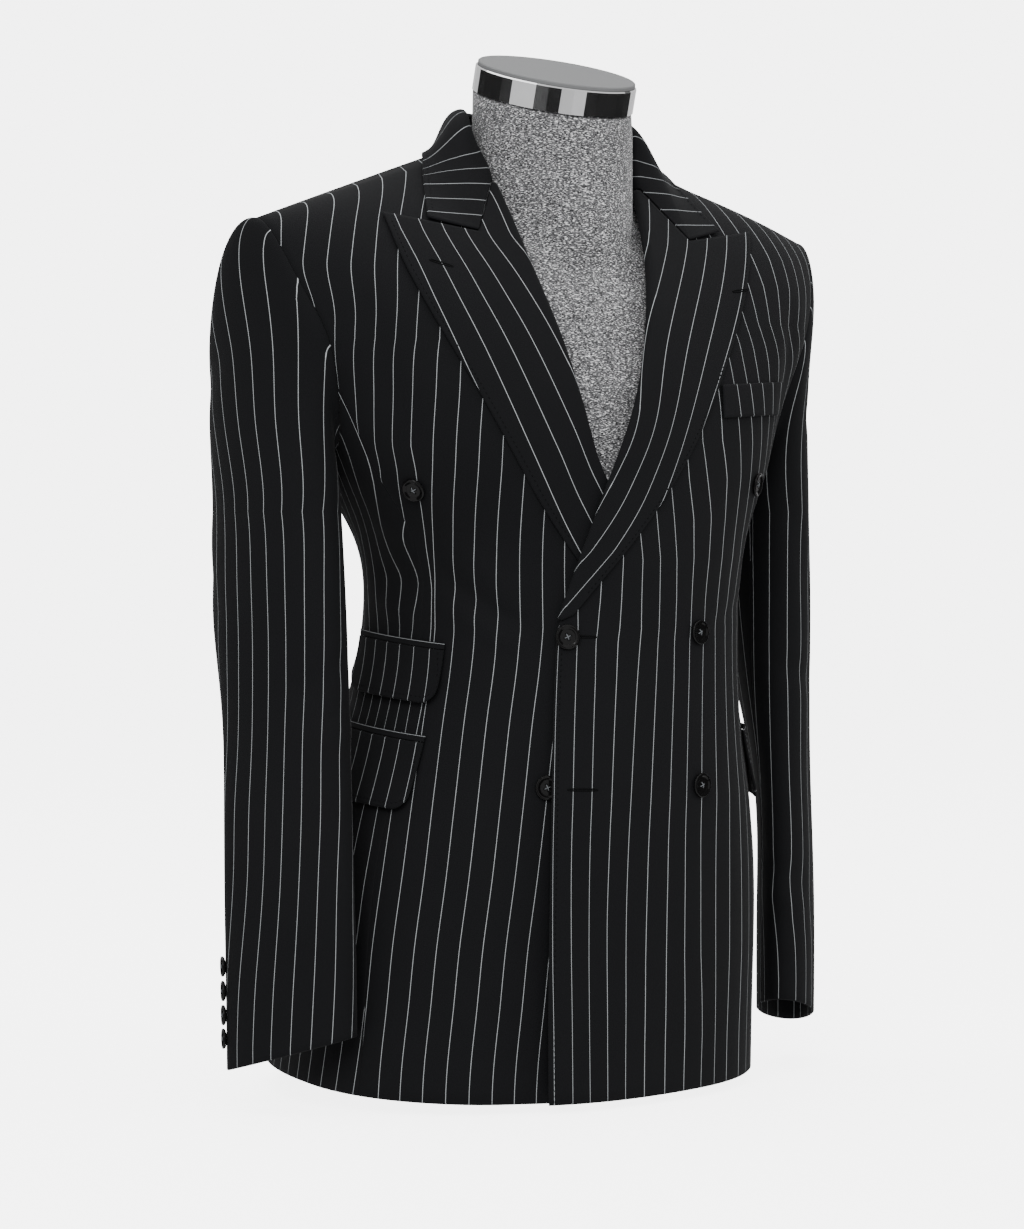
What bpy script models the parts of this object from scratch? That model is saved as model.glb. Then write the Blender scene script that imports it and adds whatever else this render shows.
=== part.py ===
"""A double-breasted suit jacket with peak lapels, standing on a limbless dress form.

Metres, +Z up. The front faces -Y and the wearer's left is +X. The body's cloth is one smooth surface, read
by an angle round from the front centre and a level up it; every panel, lapel and pocket is made from it.
"""

from typing import NamedTuple

import bpy
import numpy as np

MM = 0.001
HALF_TURN = np.pi
QUARTER = np.pi / 2

# The whole object is shifted so that its box is centred over the origin and its foot stands on the floor.
FLOOR = 0.018
ORIGIN_SHIFT = np.array((0.0025, -0.0260, -FLOOR))

# Cloth
WALL = 2.0 * MM
THIN_WALL = 1.6 * MM
SEAM_GAP = 0.3 * MM

# The body: below CHEST_LEVEL a level is a height, above it the cloth arches over to the shoulder line.
CHEST_LEVEL = 0.500
LEVEL_PER_RADIAN = 0.200
TOP_LEVEL = CHEST_LEVEL + LEVEL_PER_RADIAN * QUARTER
FULLNESS = 0.03
SHOULDER_Y = 0.0
SHOULDER_TIP = (0.252, 0.693)
NECK_POINT = (0.085, 0.753)
RIDGE_ROUNDING = 0.030  # how softly the two shoulder lines would meet above the neck


class Oval(NamedTuple):
    """One level of the body: its half width, how far it sways to the left, and its depth to front and back."""

    level: float
    half_width: float
    sway: float
    front: float
    back: float


BODY = (
    Oval(level=0.000, half_width=0.195, sway=-0.019, front=0.147, back=0.217),
    Oval(level=0.100, half_width=0.190, sway=-0.0135, front=0.150, back=0.196),
    Oval(level=0.200, half_width=0.1835, sway=-0.0085, front=0.153, back=0.167),
    Oval(level=0.300, half_width=0.1615, sway=-0.001, front=0.154, back=0.130),
    Oval(level=0.400, half_width=0.151, sway=0.0055, front=0.152, back=0.102),
    Oval(level=0.450, half_width=0.1595, sway=0.0065, front=0.150, back=0.110),
    Oval(level=0.500, half_width=0.188, sway=0.002, front=0.147, back=0.118),
    Oval(level=0.547, half_width=0.210, sway=0.000, front=0.146, back=0.124),
    Oval(level=0.579, half_width=0.226, sway=0.000, front=0.145, back=0.126),
    Oval(level=0.614, half_width=0.243, sway=0.000, front=0.144, back=0.127),
    Oval(level=0.656, half_width=0.256, sway=0.000, front=0.143, back=0.127),
    Oval(level=0.712, half_width=0.265, sway=0.000, front=0.141, back=0.125),
    Oval(level=TOP_LEVEL, half_width=0.272, sway=0.000, front=0.138, back=0.124),
)
# Near the neck the front falls away from the shoulder line more steeply than an even arch does.
NECK_SLOPE_BAND = (0.05, 0.22)
FRONT_NECK_SLOPE = 0.9
BACK_NECK_SLOPE = 0.0

# The armhole runs round the side of the chest, and its edge stands this wide at each height.
ARMHOLE_TOP = SHOULDER_TIP[1]
ARMHOLE_BOTTOM = 0.520
ARMHOLE_WIDTH = ((0.520, 0.1945), (0.550, 0.2030), (0.580, 0.2120), (0.610, 0.2230), (0.640, 0.2360),
                 (0.670, 0.2460), (0.693, 0.2520))
ARMHOLE_STATIONS = 24
SIDE_SEAM_STATION = 8  # stations from the shoulder tip to where a side panel's seam meets the armhole
SIDE_SEAM_ANGLE_LOW = np.radians(66)
BACK_SEAM_ANGLE_LOW = np.radians(118)

# The hem rises from the front to the back, more so on the wearer's right.
HEM_HEIGHT = 0.0245
HEM_RISE = 0.0080
HEM_RIGHT_RISE = 0.0015

# The overlap: the left front's edge, and the right front's hidden edge
RIGHT_EDGE_X = 0.079
BREAK_HEIGHT = 0.381


class Line(NamedTuple):
    """A point of a line drawn on the front: how high it is, and how far to the wearer's left."""

    height: float
    x: float


LEFT_EDGE = (
    Line(height=0.000, x=-0.081), Line(height=0.200, x=-0.080), Line(height=0.300, x=-0.0745),
    Line(height=0.381, x=-0.0680),
)
LEFT_ROLL = (
    Line(height=0.381, x=-0.0680), Line(height=0.440, x=-0.0470), Line(height=0.500, x=-0.0225),
    Line(height=0.550, x=0.002), Line(height=0.600, x=0.0232), Line(height=0.650, x=0.0425),
    Line(height=0.700, x=0.060), Line(height=0.722, x=0.068),
)
RIGHT_ROLL = (
    Line(height=0.365, x=0.076), Line(height=0.420, x=0.024), Line(height=0.497, x=-0.0305),
    Line(height=0.550, x=-0.0485), Line(height=0.600, x=-0.0585), Line(height=0.650, x=-0.067),
    Line(height=0.700, x=-0.0685), Line(height=0.722, x=-0.068),
)
LEFT_LAPEL_EDGE = (
    Line(height=0.386, x=-0.0620), Line(height=0.4163, x=-0.0365), Line(height=0.4833, x=0.0236),
    Line(height=0.5634, x=0.083), Line(height=0.630, x=0.130), Line(height=0.6725, x=0.157),
    Line(height=0.6953, x=0.1712),
)
RIGHT_LAPEL_EDGE = (
    Line(height=0.372, x=0.060), Line(height=0.400, x=-0.015), Line(height=0.4318, x=-0.0505),
    Line(height=0.4743, x=-0.079), Line(height=0.5262, x=-0.108), Line(height=0.5806, x=-0.135),
    Line(height=0.6352, x=-0.1597), Line(height=0.6669, x=-0.1678), Line(height=0.697, x=-0.1687),
)
NOTCH = Line(height=0.683, x=0.097)
COLLAR_CORNER = Line(height=0.692, x=0.135)


# Small tools


def spline(knots, values):
    """Gives a natural cubic curve through values at knots, as a function."""
    x, y = np.asarray(knots, float), np.asarray(values, float)
    step = np.diff(x)
    count = len(x)
    system, wanted = np.eye(count), np.zeros(count)
    for i in range(1, count - 1):
        system[i, i - 1 : i + 2] = step[i - 1], 2 * (step[i - 1] + step[i]), step[i]
        wanted[i] = 6 * ((y[i + 1] - y[i]) / step[i] - (y[i] - y[i - 1]) / step[i - 1])
    bend = np.linalg.solve(system, wanted)

    def at(place):
        place = np.clip(place, x[0], x[-1])
        i = np.clip(np.searchsorted(x, place) - 1, 0, count - 2)
        before, after = place - x[i], x[i + 1] - place
        cubic = (bend[i] * after**3 + bend[i + 1] * before**3) / (6 * step[i])
        low = y[i] / step[i] - bend[i] * step[i] / 6
        high = y[i + 1] / step[i] - bend[i + 1] * step[i] / 6
        return cubic + low * after + high * before

    return at


def smooth(value, low, high):
    """Gives 0 below low, 1 above high and a soft step between them."""
    t = np.clip((value - low) / (high - low), 0, 1)
    return t * t * (3 - 2 * t)


def unit(vectors):
    """Gives vectors scaled to length 1."""
    return vectors / np.linalg.norm(vectors, axis=-1, keepdims=True)


def stack(x, y, z):
    """Gives points from their three coordinates."""
    return np.stack(np.broadcast_arrays(x, y, z), axis=-1)


def patch(bottom, top, first, last):
    """Gives a grid of points between four edges: rows run from bottom to top, columns from first to last."""
    rows, columns = len(first), len(bottom)
    v = np.linspace(0, 1, rows)[:, None, None]
    u = np.linspace(0, 1, columns)[None, :, None]
    sides = (1 - u) * first[:, None] + u * last[:, None]
    ends = (1 - v) * bottom[None] + v * top[None]
    corners = (1 - v) * ((1 - u) * bottom[0] + u * bottom[-1]) + v * ((1 - u) * top[0] + u * top[-1])
    return sides + ends - corners


# The body's surface


def ridge_height(x):
    """Gives the shoulder line's height at x; it slopes from the neck to the shoulder tip."""
    reach, neck, tip = (np.hypot(place, RIDGE_ROUNDING) for place in (x, NECK_POINT[0], SHOULDER_TIP[0]))
    slope = (SHOULDER_TIP[1] - NECK_POINT[1]) / (tip - neck)
    return NECK_POINT[1] + slope * (reach - neck)


half_width_at = spline([row.level for row in BODY], [row.half_width for row in BODY])
front_at = spline([row.level for row in BODY], [row.front for row in BODY])
back_at = spline([row.level for row in BODY], [row.back for row in BODY])
sway_at = spline([row.level for row in BODY], [row.sway for row in BODY])


def body_point(angle, level):
    """Gives the body's outer surface at an angle from the front centre, positive to the wearer's left."""
    full = 1 + FULLNESS * np.sin(2 * angle) ** 2
    x = half_width_at(level) * full * np.sin(angle) + sway_at(level)
    fore = np.cos(angle) > 0
    depth = np.where(fore, front_at(level), back_at(level)) * full * np.cos(angle)
    arch = np.clip((level - CHEST_LEVEL) / LEVEL_PER_RADIAN, 0, QUARTER)
    steeper = np.where(fore, FRONT_NECK_SLOPE, BACK_NECK_SLOPE) * (1 - smooth(np.abs(x), *NECK_SLOPE_BAND))
    y = SHOULDER_Y - (depth + SHOULDER_Y) * np.cos(arch) ** (1 + steeper)
    rise = ridge_height(x) - CHEST_LEVEL
    z = np.where(level < CHEST_LEVEL, level, CHEST_LEVEL + rise * np.sin(arch))
    return stack(x, y, z)


def body_normal(angle, level):
    """Gives the direction out of the body's surface."""
    step = 1e-4
    up = np.minimum(level + step, TOP_LEVEL)
    down = up - 2 * step
    across = body_point(angle + step, level) - body_point(angle - step, level)
    along = body_point(angle, up) - body_point(angle, down)
    return unit(np.cross(across, along))


def body_place(x, z, back=False):
    """Gives the angle and level of the body's surface where it is seen at x and z from the front or back."""
    rise = ridge_height(x) - CHEST_LEVEL
    arch = np.arcsin(np.clip((z - CHEST_LEVEL) / rise, 0, 1))
    level = np.where(z < CHEST_LEVEL, z, CHEST_LEVEL + LEVEL_PER_RADIAN * arch)
    angle = np.zeros_like(x, float)
    for _ in range(12):
        full = 1 + FULLNESS * np.sin(2 * angle) ** 2
        angle = np.arcsin(np.clip((x - sway_at(level)) / (half_width_at(level) * full), -1, 1))
    if back:
        angle = np.sign(np.where(x == 0, 1, x)) * HALF_TURN - angle
    return np.stack((angle, level), axis=-1)


def hem_level(angle):
    """Gives the hem's height round the body."""
    return HEM_HEIGHT + (HEM_RISE - HEM_RIGHT_RISE * np.sin(angle)) * (1 - np.cos(angle))


def line_x(line, height):
    """Gives a drawn line's x at each height."""
    return spline([point.height for point in line], [point.x for point in line])(height)


# How far each front stands off the body's surface: the right front is pressed in under the left one.

RIGHT_SINK = spline((0.0, 0.30, 0.36, 0.43, 0.52), (3.0 * MM, 3.0 * MM, 3.4 * MM, 4.8 * MM, 4.8 * MM))
LEFT_LIFT = spline((0.0, 0.15, 0.26, 0.33, 0.376, 0.43, 0.52),
                   (10 * MM, 9 * MM, 7 * MM, 3.0 * MM, 1.0 * MM, 1.4 * MM, 1.4 * MM))
SINK_BAND = (-0.055, -0.014)
LIFT_BAND = (-0.020, 0.150)


def left_edge_x(height):
    """Gives the x of the left front's free edge, which is its roll line above the break."""
    return np.where(height < BREAK_HEIGHT, line_x(LEFT_EDGE, height), line_x(LEFT_ROLL, height))


def right_offset(points):
    """Gives how far out the right front lies at points of the body."""
    x, z = points[..., 0], points[..., 2]
    past = x - left_edge_x(z)
    near_overlap = 1 - smooth(z, 0.50, 0.58)
    return -RIGHT_SINK(z) * smooth(past, *SINK_BAND) * near_overlap


def left_offset(points):
    """Gives how far out the left front lies at points of the body."""
    x, z = points[..., 0], points[..., 2]
    past = x - left_edge_x(z)
    near_overlap = 1 - smooth(z, 0.50, 0.58)
    return LEFT_LIFT(z) * (1 - smooth(past, *LIFT_BAND)) * near_overlap


def side_offset(side, points):
    """Gives how far out the front on that side lies: 1 is the wearer's left, -1 the right."""
    return left_offset(points) if side > 0 else right_offset(points)


def on_front(side, places, out=0.0):
    """Gives points and normals at places on a front, moved out by out."""
    angle, level = places[..., 0], places[..., 1]
    points, normals = body_point(angle, level), body_normal(angle, level)
    away = side_offset(side, points) + out
    return points + normals * away[..., None], normals


# The armhole


def armhole_at(side, turn, at_back):
    """Gives places on the body at the armhole: turn goes round from the shoulder tip, by the back where at_back."""
    half = (ARMHOLE_TOP - ARMHOLE_BOTTOM) / 2
    height = ARMHOLE_BOTTOM + half * (1 + np.cos(turn))
    width = spline(*zip(*ARMHOLE_WIDTH))(height)
    fore, aft = body_place(side * width, height), body_place(side * width, height, back=True)
    places = np.where(at_back[..., None], aft, fore)
    at_tip = np.cos(turn) > 1 - 1e-9
    at_pit = np.cos(turn) < -1 + 1e-9
    places[at_tip, 1] = TOP_LEVEL
    places[at_pit, 0] = side * QUARTER
    return places


def armhole_places(side, back, first, last):
    """Gives the armhole's places between two stations, counted from the shoulder tip down to the armpit."""
    turn = np.linspace(first, last, abs(last - first) + 1) * 2 * HALF_TURN / ARMHOLE_STATIONS
    return armhole_at(side, turn, np.full(turn.shape, back))


# Making solids


def paint(name, colour, roughness, metallic=0.0):
    """Makes a Principled material."""
    material = bpy.data.materials.new(name)
    material.use_nodes = True
    shader = material.node_tree.nodes["Principled BSDF"]
    shader.inputs["Base Color"].default_value = (*colour, 1)
    shader.inputs["Roughness"].default_value = roughness
    shader.inputs["Metallic"].default_value = metallic
    return material


def solid(name, points, faces, material):
    """Makes one named object from points and faces, with its faces pointing out."""
    mesh = bpy.data.meshes.new(name)
    mesh.from_pydata([tuple(point) for point in points + ORIGIN_SHIFT], [], faces)
    mesh.materials.append(material)
    mesh.validate()
    mesh.shade_smooth()
    mesh.set_sharp_from_angle(angle=np.radians(40))
    made = bpy.data.objects.new(name, mesh)
    bpy.context.scene.collection.objects.link(made)
    return made


def wall(name, outer, normals, material, thickness=WALL):
    """Makes a sheet of cloth from a grid of outer points, as thick as thickness along the normals."""
    rows, columns = outer.shape[:2]
    inner = outer - normals * thickness
    points = np.concatenate((outer.reshape(-1, 3), inner.reshape(-1, 3)))
    index = np.arange(rows * columns).reshape(rows, columns)
    under = index + rows * columns
    faces = []
    for r in range(rows - 1):
        for c in range(columns - 1):
            quad = (index[r, c], index[r, c + 1], index[r + 1, c + 1], index[r + 1, c])
            faces.append(quad)
            faces.append(tuple(i + rows * columns for i in reversed(quad)))
    rim = [*index[0, :], *index[1:, -1], *index[-1, -2::-1], *index[-2:0:-1, 0]]
    below = [*under[0, :], *under[1:, -1], *under[-1, -2::-1], *under[-2:0:-1, 0]]
    for i in range(len(rim)):
        j = (i + 1) % len(rim)
        if rim[i] < rim[j]:
            faces += [(rim[j], rim[i], below[j]), (rim[i], below[i], below[j])]
        else:
            faces += [(rim[j], rim[i], below[i]), (rim[j], below[i], below[j])]
    right = outer[rows // 2, min(columns // 2 + 1, columns - 1)] - outer[rows // 2, max(columns // 2 - 1, 0)]
    up = outer[min(rows // 2 + 1, rows - 1), columns // 2] - outer[max(rows // 2 - 1, 0), columns // 2]
    faces_out = np.dot(np.cross(right, up), normals[rows // 2, columns // 2]) > 0
    if not faces_out:
        faces = [tuple(reversed(face)) for face in faces]
    return solid(name, points, [tuple(int(i) for i in face) for face in faces], material)


def turned(name, profile, sides, material, centre, axis):
    """Makes a turned solid from (radius, height) rings, closed at both ends, standing on centre along axis."""
    axis = unit(np.asarray(axis, float))
    helper = np.array((0.0, 0.0, 1.0)) if abs(axis[2]) < 0.9 else np.array((1.0, 0.0, 0.0))
    first = unit(np.cross(helper, axis))
    second = np.cross(axis, first)
    turn = np.arange(sides) * 2 * HALF_TURN / sides
    points = []
    for radius, height in profile:
        ring = np.cos(turn)[:, None] * first + np.sin(turn)[:, None] * second
        points.append(centre + radius * ring + height * axis)
    faces = [tuple(reversed(range(sides)))]
    for k in range(len(profile) - 1):
        for i in range(sides):
            j = (i + 1) % sides
            faces.append((k * sides + i, k * sides + j, (k + 1) * sides + j, (k + 1) * sides + i))
    last = (len(profile) - 1) * sides
    faces.append(tuple(last + i for i in range(sides)))
    return solid(name, np.concatenate(points), faces, material)


def inset(places):
    """Moves a grid's outer columns in by half a seam gap, measured along the body."""
    points = body_point(places[..., 0], places[..., 1])
    moved = places.copy()
    for edge, inward in ((0, 1), (-1, -2)):
        step = np.linalg.norm(points[:, inward] - points[:, edge], axis=-1)
        share = np.minimum(SEAM_GAP / 2 / np.maximum(step, 1e-6), 0.3)[:, None]
        moved[:, edge] = places[:, edge] + share * (places[:, inward] - places[:, edge])
    top = np.linalg.norm(points[-2] - points[-1], axis=-1)
    share = np.minimum(SEAM_GAP / 2 / np.maximum(top, 1e-6), 0.5)[:, None]
    moved[-1] = moved[-1] + share * (moved[-2] - moved[-1])
    return moved


# Panels

# How far up each row lies between the hem and the armhole: the rows are closest where the waist curves in.
ROW_SHARES = np.array((0.0, 0.16, 0.32, 0.45, 0.55, 0.63, 0.70, 0.77, 0.84, 0.92, 1.0))
ROWS_BELOW_BREAK = 7  # a front's free edge has this many of its rows up to the break
FRONT_COLUMNS = 11
BACK_COLUMNS_SHOULDER = 7
BACK_COLUMNS_NECK = 5
BACK_NECK_RISE = 0.004


def seam_places(side, low_angle, top_place):
    """Gives the places of a body seam from the hem up to top_place."""
    bottom = np.array((side * low_angle, float(hem_level(side * low_angle))))
    return bottom + ROW_SHARES[:, None] * (top_place - bottom)


def front_outer_edge(side):
    """Gives the places of a front's outer edge: the side seam, then the armhole up to the shoulder tip."""
    armhole = armhole_places(side, False, SIDE_SEAM_STATION, 0)
    seam = seam_places(side, SIDE_SEAM_ANGLE_LOW, armhole[0])
    return np.concatenate((seam[:-1], armhole))


def front_inner_edge(side, rows):
    """Gives the places of a front's free edge: straight up to the break, then the roll line to the neck."""
    roll = LEFT_ROLL if side > 0 else RIGHT_ROLL
    start = roll[0].height
    shares = ROW_SHARES[:ROWS_BELOW_BREAK] / ROW_SHARES[ROWS_BELOW_BREAK - 1]
    hem = hem_level(-side * QUARTER / 4)
    low = hem + shares * (start - hem)
    high = np.linspace(start, NECK_POINT[1] - 0.004, rows - ROWS_BELOW_BREAK + 1)[1:]
    height = np.concatenate((low, high))
    edge_x = line_x(LEFT_EDGE, height) if side > 0 else RIGHT_EDGE_X
    x = np.where(height <= start, edge_x, line_x(roll, height))
    neck_share = smooth(height, roll[-1].height, NECK_POINT[1])
    x = x + neck_share * (side * NECK_POINT[0] - x)
    return body_place(x, height)


def upright_top(normals):
    """Turns the top row's directions upright, so that front and back meet squarely along the shoulder."""
    turned_up = normals.copy()
    turned_up[-1, :, 1] = 0
    return unit(turned_up)


def front(side, name, material):
    """Makes a front, from its free edge round to the side panel and up to the shoulder."""
    outer_edge = front_outer_edge(side)
    inner_edge = front_inner_edge(side, len(outer_edge))
    bottom_angle = np.linspace(inner_edge[0, 0], outer_edge[0, 0], FRONT_COLUMNS)
    bottom = np.stack((bottom_angle, hem_level(bottom_angle)), axis=-1)
    top_x = np.linspace(side * NECK_POINT[0], side * SHOULDER_TIP[0], FRONT_COLUMNS)
    top = body_place(top_x, ridge_height(top_x))
    top[:, 1] = TOP_LEVEL
    inner_edge[-1], outer_edge[-1] = top[0], top[-1]
    places = inset(patch(bottom, top, inner_edge, outer_edge))
    points, normals = on_front(side, places)
    return wall(name, points, upright_top(normals), material)


def side_panel(side, name, material):
    """Makes a side panel, which runs under the arm from the front to the back."""
    count = ARMHOLE_STATIONS // 2 - SIDE_SEAM_STATION
    fore = armhole_places(side, False, SIDE_SEAM_STATION, SIDE_SEAM_STATION + count)
    aft = armhole_places(side, True, SIDE_SEAM_STATION + count, SIDE_SEAM_STATION)
    top = np.concatenate((fore, aft[1:]))
    first = seam_places(side, SIDE_SEAM_ANGLE_LOW, top[0])
    last = seam_places(side, BACK_SEAM_ANGLE_LOW, top[-1])
    bottom_angle = np.linspace(first[0, 0], last[0, 0], len(top))
    bottom = np.stack((bottom_angle, hem_level(bottom_angle)), axis=-1)
    places = inset(patch(bottom, top, first, last))
    angle, level = places[..., 0], places[..., 1]
    return wall(name, body_point(angle, level), body_normal(angle, level), material)


def back_neck_height(x):
    """Gives the back neckline's height."""
    return NECK_POINT[1] + BACK_NECK_RISE * (1 - (x / NECK_POINT[0]) ** 2)


def back(side, name, material):
    """Makes a back, from the side panel to the centre back seam."""
    armhole = armhole_places(side, True, SIDE_SEAM_STATION, 0)
    seam = seam_places(side, BACK_SEAM_ANGLE_LOW, armhole[0])
    first = np.concatenate((seam[:-1], armhole))
    shoulder_x = np.linspace(SHOULDER_TIP[0], NECK_POINT[0], BACK_COLUMNS_SHOULDER)
    neck_x = np.linspace(NECK_POINT[0], 0, BACK_COLUMNS_NECK)[1:]
    shoulder = body_place(side * shoulder_x, ridge_height(shoulder_x), back=True)
    shoulder[:, 1] = TOP_LEVEL
    neck = body_place(side * neck_x, back_neck_height(neck_x), back=True)
    neck[-1, 0] = side * HALF_TURN
    top = np.concatenate((shoulder, neck))
    last_level = np.linspace(hem_level(side * HALF_TURN), top[-1, 1], len(first))
    last = np.stack((np.full(len(first), side * HALF_TURN), last_level), axis=-1)
    bottom_angle = np.linspace(first[0, 0], side * HALF_TURN, len(top))
    bottom = np.stack((bottom_angle, hem_level(bottom_angle)), axis=-1)
    places = inset(patch(bottom, top, first, last))
    angle, level = places[..., 0], places[..., 1]
    return wall(name, body_point(angle, level), upright_top(body_normal(angle, level)), material)


# Sleeves


class Ring(NamedTuple):
    """A ring of the wearer's left sleeve: its centre, its two half sizes and how far its front turns in."""

    height: float
    x: float
    y: float
    half_wide: float
    half_thin: float
    turn_in: float


SLEEVE = (
    Ring(height=0.470, x=0.2245, y=0.023, half_wide=0.068, half_thin=0.038, turn_in=6),
    Ring(height=0.400, x=0.2285, y=0.012, half_wide=0.0625, half_thin=0.0355, turn_in=18),
    Ring(height=0.320, x=0.2295, y=-0.001, half_wide=0.0545, half_thin=0.0295, turn_in=30),
    Ring(height=0.250, x=0.2310, y=-0.011, half_wide=0.052, half_thin=0.0235, turn_in=38),
    Ring(height=0.150, x=0.2300, y=-0.017, half_wide=0.052, half_thin=0.0235, turn_in=40),
    Ring(height=0.0615, x=0.2290, y=-0.018, half_wide=0.052, half_thin=0.0235, turn_in=40),
)
CUFF_SLANT = 0.0145  # how far the cuff's edge drops at the back, and rises at the front
HEAD_ROWS = 8
SLEEVE_ROWS = 10
# How strongly the sleeve's head leaves the armhole, and how strongly it falls into the first ring
HEAD_OUT = 0.030
HEAD_OUT_AT_TOP = 0.045
HEAD_BACK_AT_TOP = 0.062
HEAD_FORE = 0.020
HEAD_UP_AT_TOP = 0.055
HEAD_DOWN = 0.03
HEAD_FALL = 0.05
HEAD_FALL_AT_TOP = 0.21
HEAD_BACK = 0.012  # how far back the head's top swells, half-way down to the first ring
# The wearer's right sleeve lies a little closer in above the elbow, and its cuff a little further out and forward.
RIGHT_ELBOW_SHIFT = (-0.0020, -0.0010)
RIGHT_CUFF_SHIFT = (0.0085, -0.0130)
RIGHT_CUFF_BAND = (-0.34, -0.15)
UNDER_STATIONS = (9, 19)  # the under sleeve lies between these armhole stations, counted round by the front

sleeve_x = spline([-r.height for r in SLEEVE], [r.x for r in SLEEVE])
sleeve_y = spline([-r.height for r in SLEEVE], [r.y for r in SLEEVE])
sleeve_wide = spline([-r.height for r in SLEEVE], [r.half_wide for r in SLEEVE])
sleeve_thin = spline([-r.height for r in SLEEVE], [r.half_thin for r in SLEEVE])
sleeve_turn = spline([-r.height for r in SLEEVE], [np.radians(r.turn_in) for r in SLEEVE])


def sleeve_ring(side, turn, height):
    """Gives points on the sleeve: turn is 0 on its outer side and a quarter turn at its front."""
    centre_x, centre_y = sleeve_x(-height), sleeve_y(-height)
    if side < 0:
        low = smooth(-height, *RIGHT_CUFF_BAND)
        centre_x = centre_x + RIGHT_ELBOW_SHIFT[0] + low * (RIGHT_CUFF_SHIFT[0] - RIGHT_ELBOW_SHIFT[0])
        centre_y = centre_y + RIGHT_ELBOW_SHIFT[1] + low * (RIGHT_CUFF_SHIFT[1] - RIGHT_ELBOW_SHIFT[1])
    wide, thin, turn_in = sleeve_wide(-height), sleeve_thin(-height), sleeve_turn(-height)
    out, fore = thin * np.cos(turn), wide * np.sin(turn)
    x = centre_x + out * np.cos(turn_in) - fore * np.sin(turn_in)
    y = centre_y - fore * np.cos(turn_in) - out * np.sin(turn_in)
    low = smooth(-height, -SLEEVE[-3].height, -SLEEVE[-1].height)
    return stack(side * x, y, height + low * CUFF_SLANT * np.sin(turn))


def sleeve_point(side, turn, along):
    """Gives points on a sleeve: along is 0 at the armhole, 1 at the first ring and 2 at the cuff."""
    places = armhole_at(side, turn, np.sin(turn) < 0)
    edge = body_point(places[..., 0], places[..., 1])
    first = sleeve_ring(side, turn, SLEEVE[0].height)
    top = 0.5 + 0.5 * np.cos(turn)
    outward = stack(
        side * (HEAD_OUT + HEAD_OUT_AT_TOP * top),
        HEAD_BACK_AT_TOP * top - HEAD_FORE * np.sin(turn),
        HEAD_UP_AT_TOP * top - HEAD_DOWN,
    )
    downward = stack(0.0, 0.0, -(HEAD_FALL + HEAD_FALL_AT_TOP * top))
    swell = stack(0.0, HEAD_BACK * top**2, 0.0)
    t = np.clip(along, 0, 1)[..., None]
    head = (
        (2 * t**3 - 3 * t**2 + 1) * edge
        + (t**3 - 2 * t**2 + t) * outward
        + (3 * t**2 - 2 * t**3) * first
        + (t**3 - t**2) * downward
        + 16 * (t * (1 - t)) ** 2 * swell
    )
    height = SLEEVE[0].height + np.clip(along - 1, 0, 1) * (SLEEVE[-1].height - SLEEVE[0].height)
    return np.where(along[..., None] < 1, head, sleeve_ring(side, turn, height))


def sleeve_grid(side, first_station, last_station):
    """Gives points and normals of a piece of sleeve between two armhole stations."""
    turn = np.arange(first_station - 1, last_station + 2) * 2 * HALF_TURN / ARMHOLE_STATIONS
    along = np.concatenate((np.linspace(0, 1, HEAD_ROWS), np.linspace(1, 2, SLEEVE_ROWS)[1:]))
    turn, along = np.meshgrid(turn, along)
    points = sleeve_point(side, turn, along)
    normals = side * unit(np.cross(np.gradient(points, axis=1), np.gradient(points, axis=0)))
    points, normals = points[:, 1:-1], normals[:, 1:-1]
    for edge, inward in ((0, 1), (-1, -2)):
        points[:, edge] += unit(points[:, inward] - points[:, edge]) * SEAM_GAP / 2
    return points, normals


def clear_armhole(points, normals, side):
    """Moves a sleeve's first row out of the armhole seam by the seam's gap and the wall of the body."""
    outward = unit(points[1] - points[0])
    points[0] = points[0] + outward * (SEAM_GAP + 0.4 * WALL)
    return points, normals


def sleeve_piece(side, first_station, last_station, name, material):
    """Makes the upper or the under part of a sleeve."""
    points, normals = sleeve_grid(side, first_station, last_station)
    points, normals = clear_armhole(points, normals, side)
    return wall(name, points, normals, material)


# Lapels and collar

# Each lapel's lower end: its height on the roll and on the outer edge. The right one's is hidden.
LAPEL_STARTS = {1: (0.388, 0.392), -1: (0.445, 0.400)}
LAPEL_ROWS = 15
LAPEL_COLUMNS = 6
CURL_STEPS = 3
LAPEL_GAP = 1.0 * MM
LAPEL_BLOOM = 3.0 * MM


def edge_points(line, start, end, count):
    """Gives (x, height) points down a drawn line, evenly between two heights."""
    height = np.linspace(start, end, count)
    return np.stack((line_x(line, height), height), axis=-1)


def lapel_drawing(side):
    """Gives the lapel's (x, height) grid as drawn from the front: rows go up it, columns out from its roll."""
    roll = LEFT_ROLL if side > 0 else RIGHT_ROLL
    edge = LEFT_LAPEL_EDGE if side > 0 else RIGHT_LAPEL_EDGE
    roll_start, edge_start = LAPEL_STARTS[side]
    first = edge_points(roll, roll_start, roll[-1].height, LAPEL_ROWS)
    last = edge_points(edge, edge_start, edge[-1].height, LAPEL_ROWS)
    gorge_end = np.array((side * NOTCH.x, NOTCH.height))
    gorge_columns = LAPEL_COLUMNS // 2
    share_in = np.linspace(0, 1, gorge_columns)[:, None]
    share_out = np.linspace(0, 1, LAPEL_COLUMNS - gorge_columns + 1)[1:, None]
    top = np.concatenate((
        first[-1] + share_in * (gorge_end - first[-1]),
        gorge_end + share_out * (last[-1] - gorge_end),
    ))
    bottom = first[0] + np.linspace(0, 1, LAPEL_COLUMNS)[:, None] * (last[0] - first[0])
    return patch(bottom, top, first, last)


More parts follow.
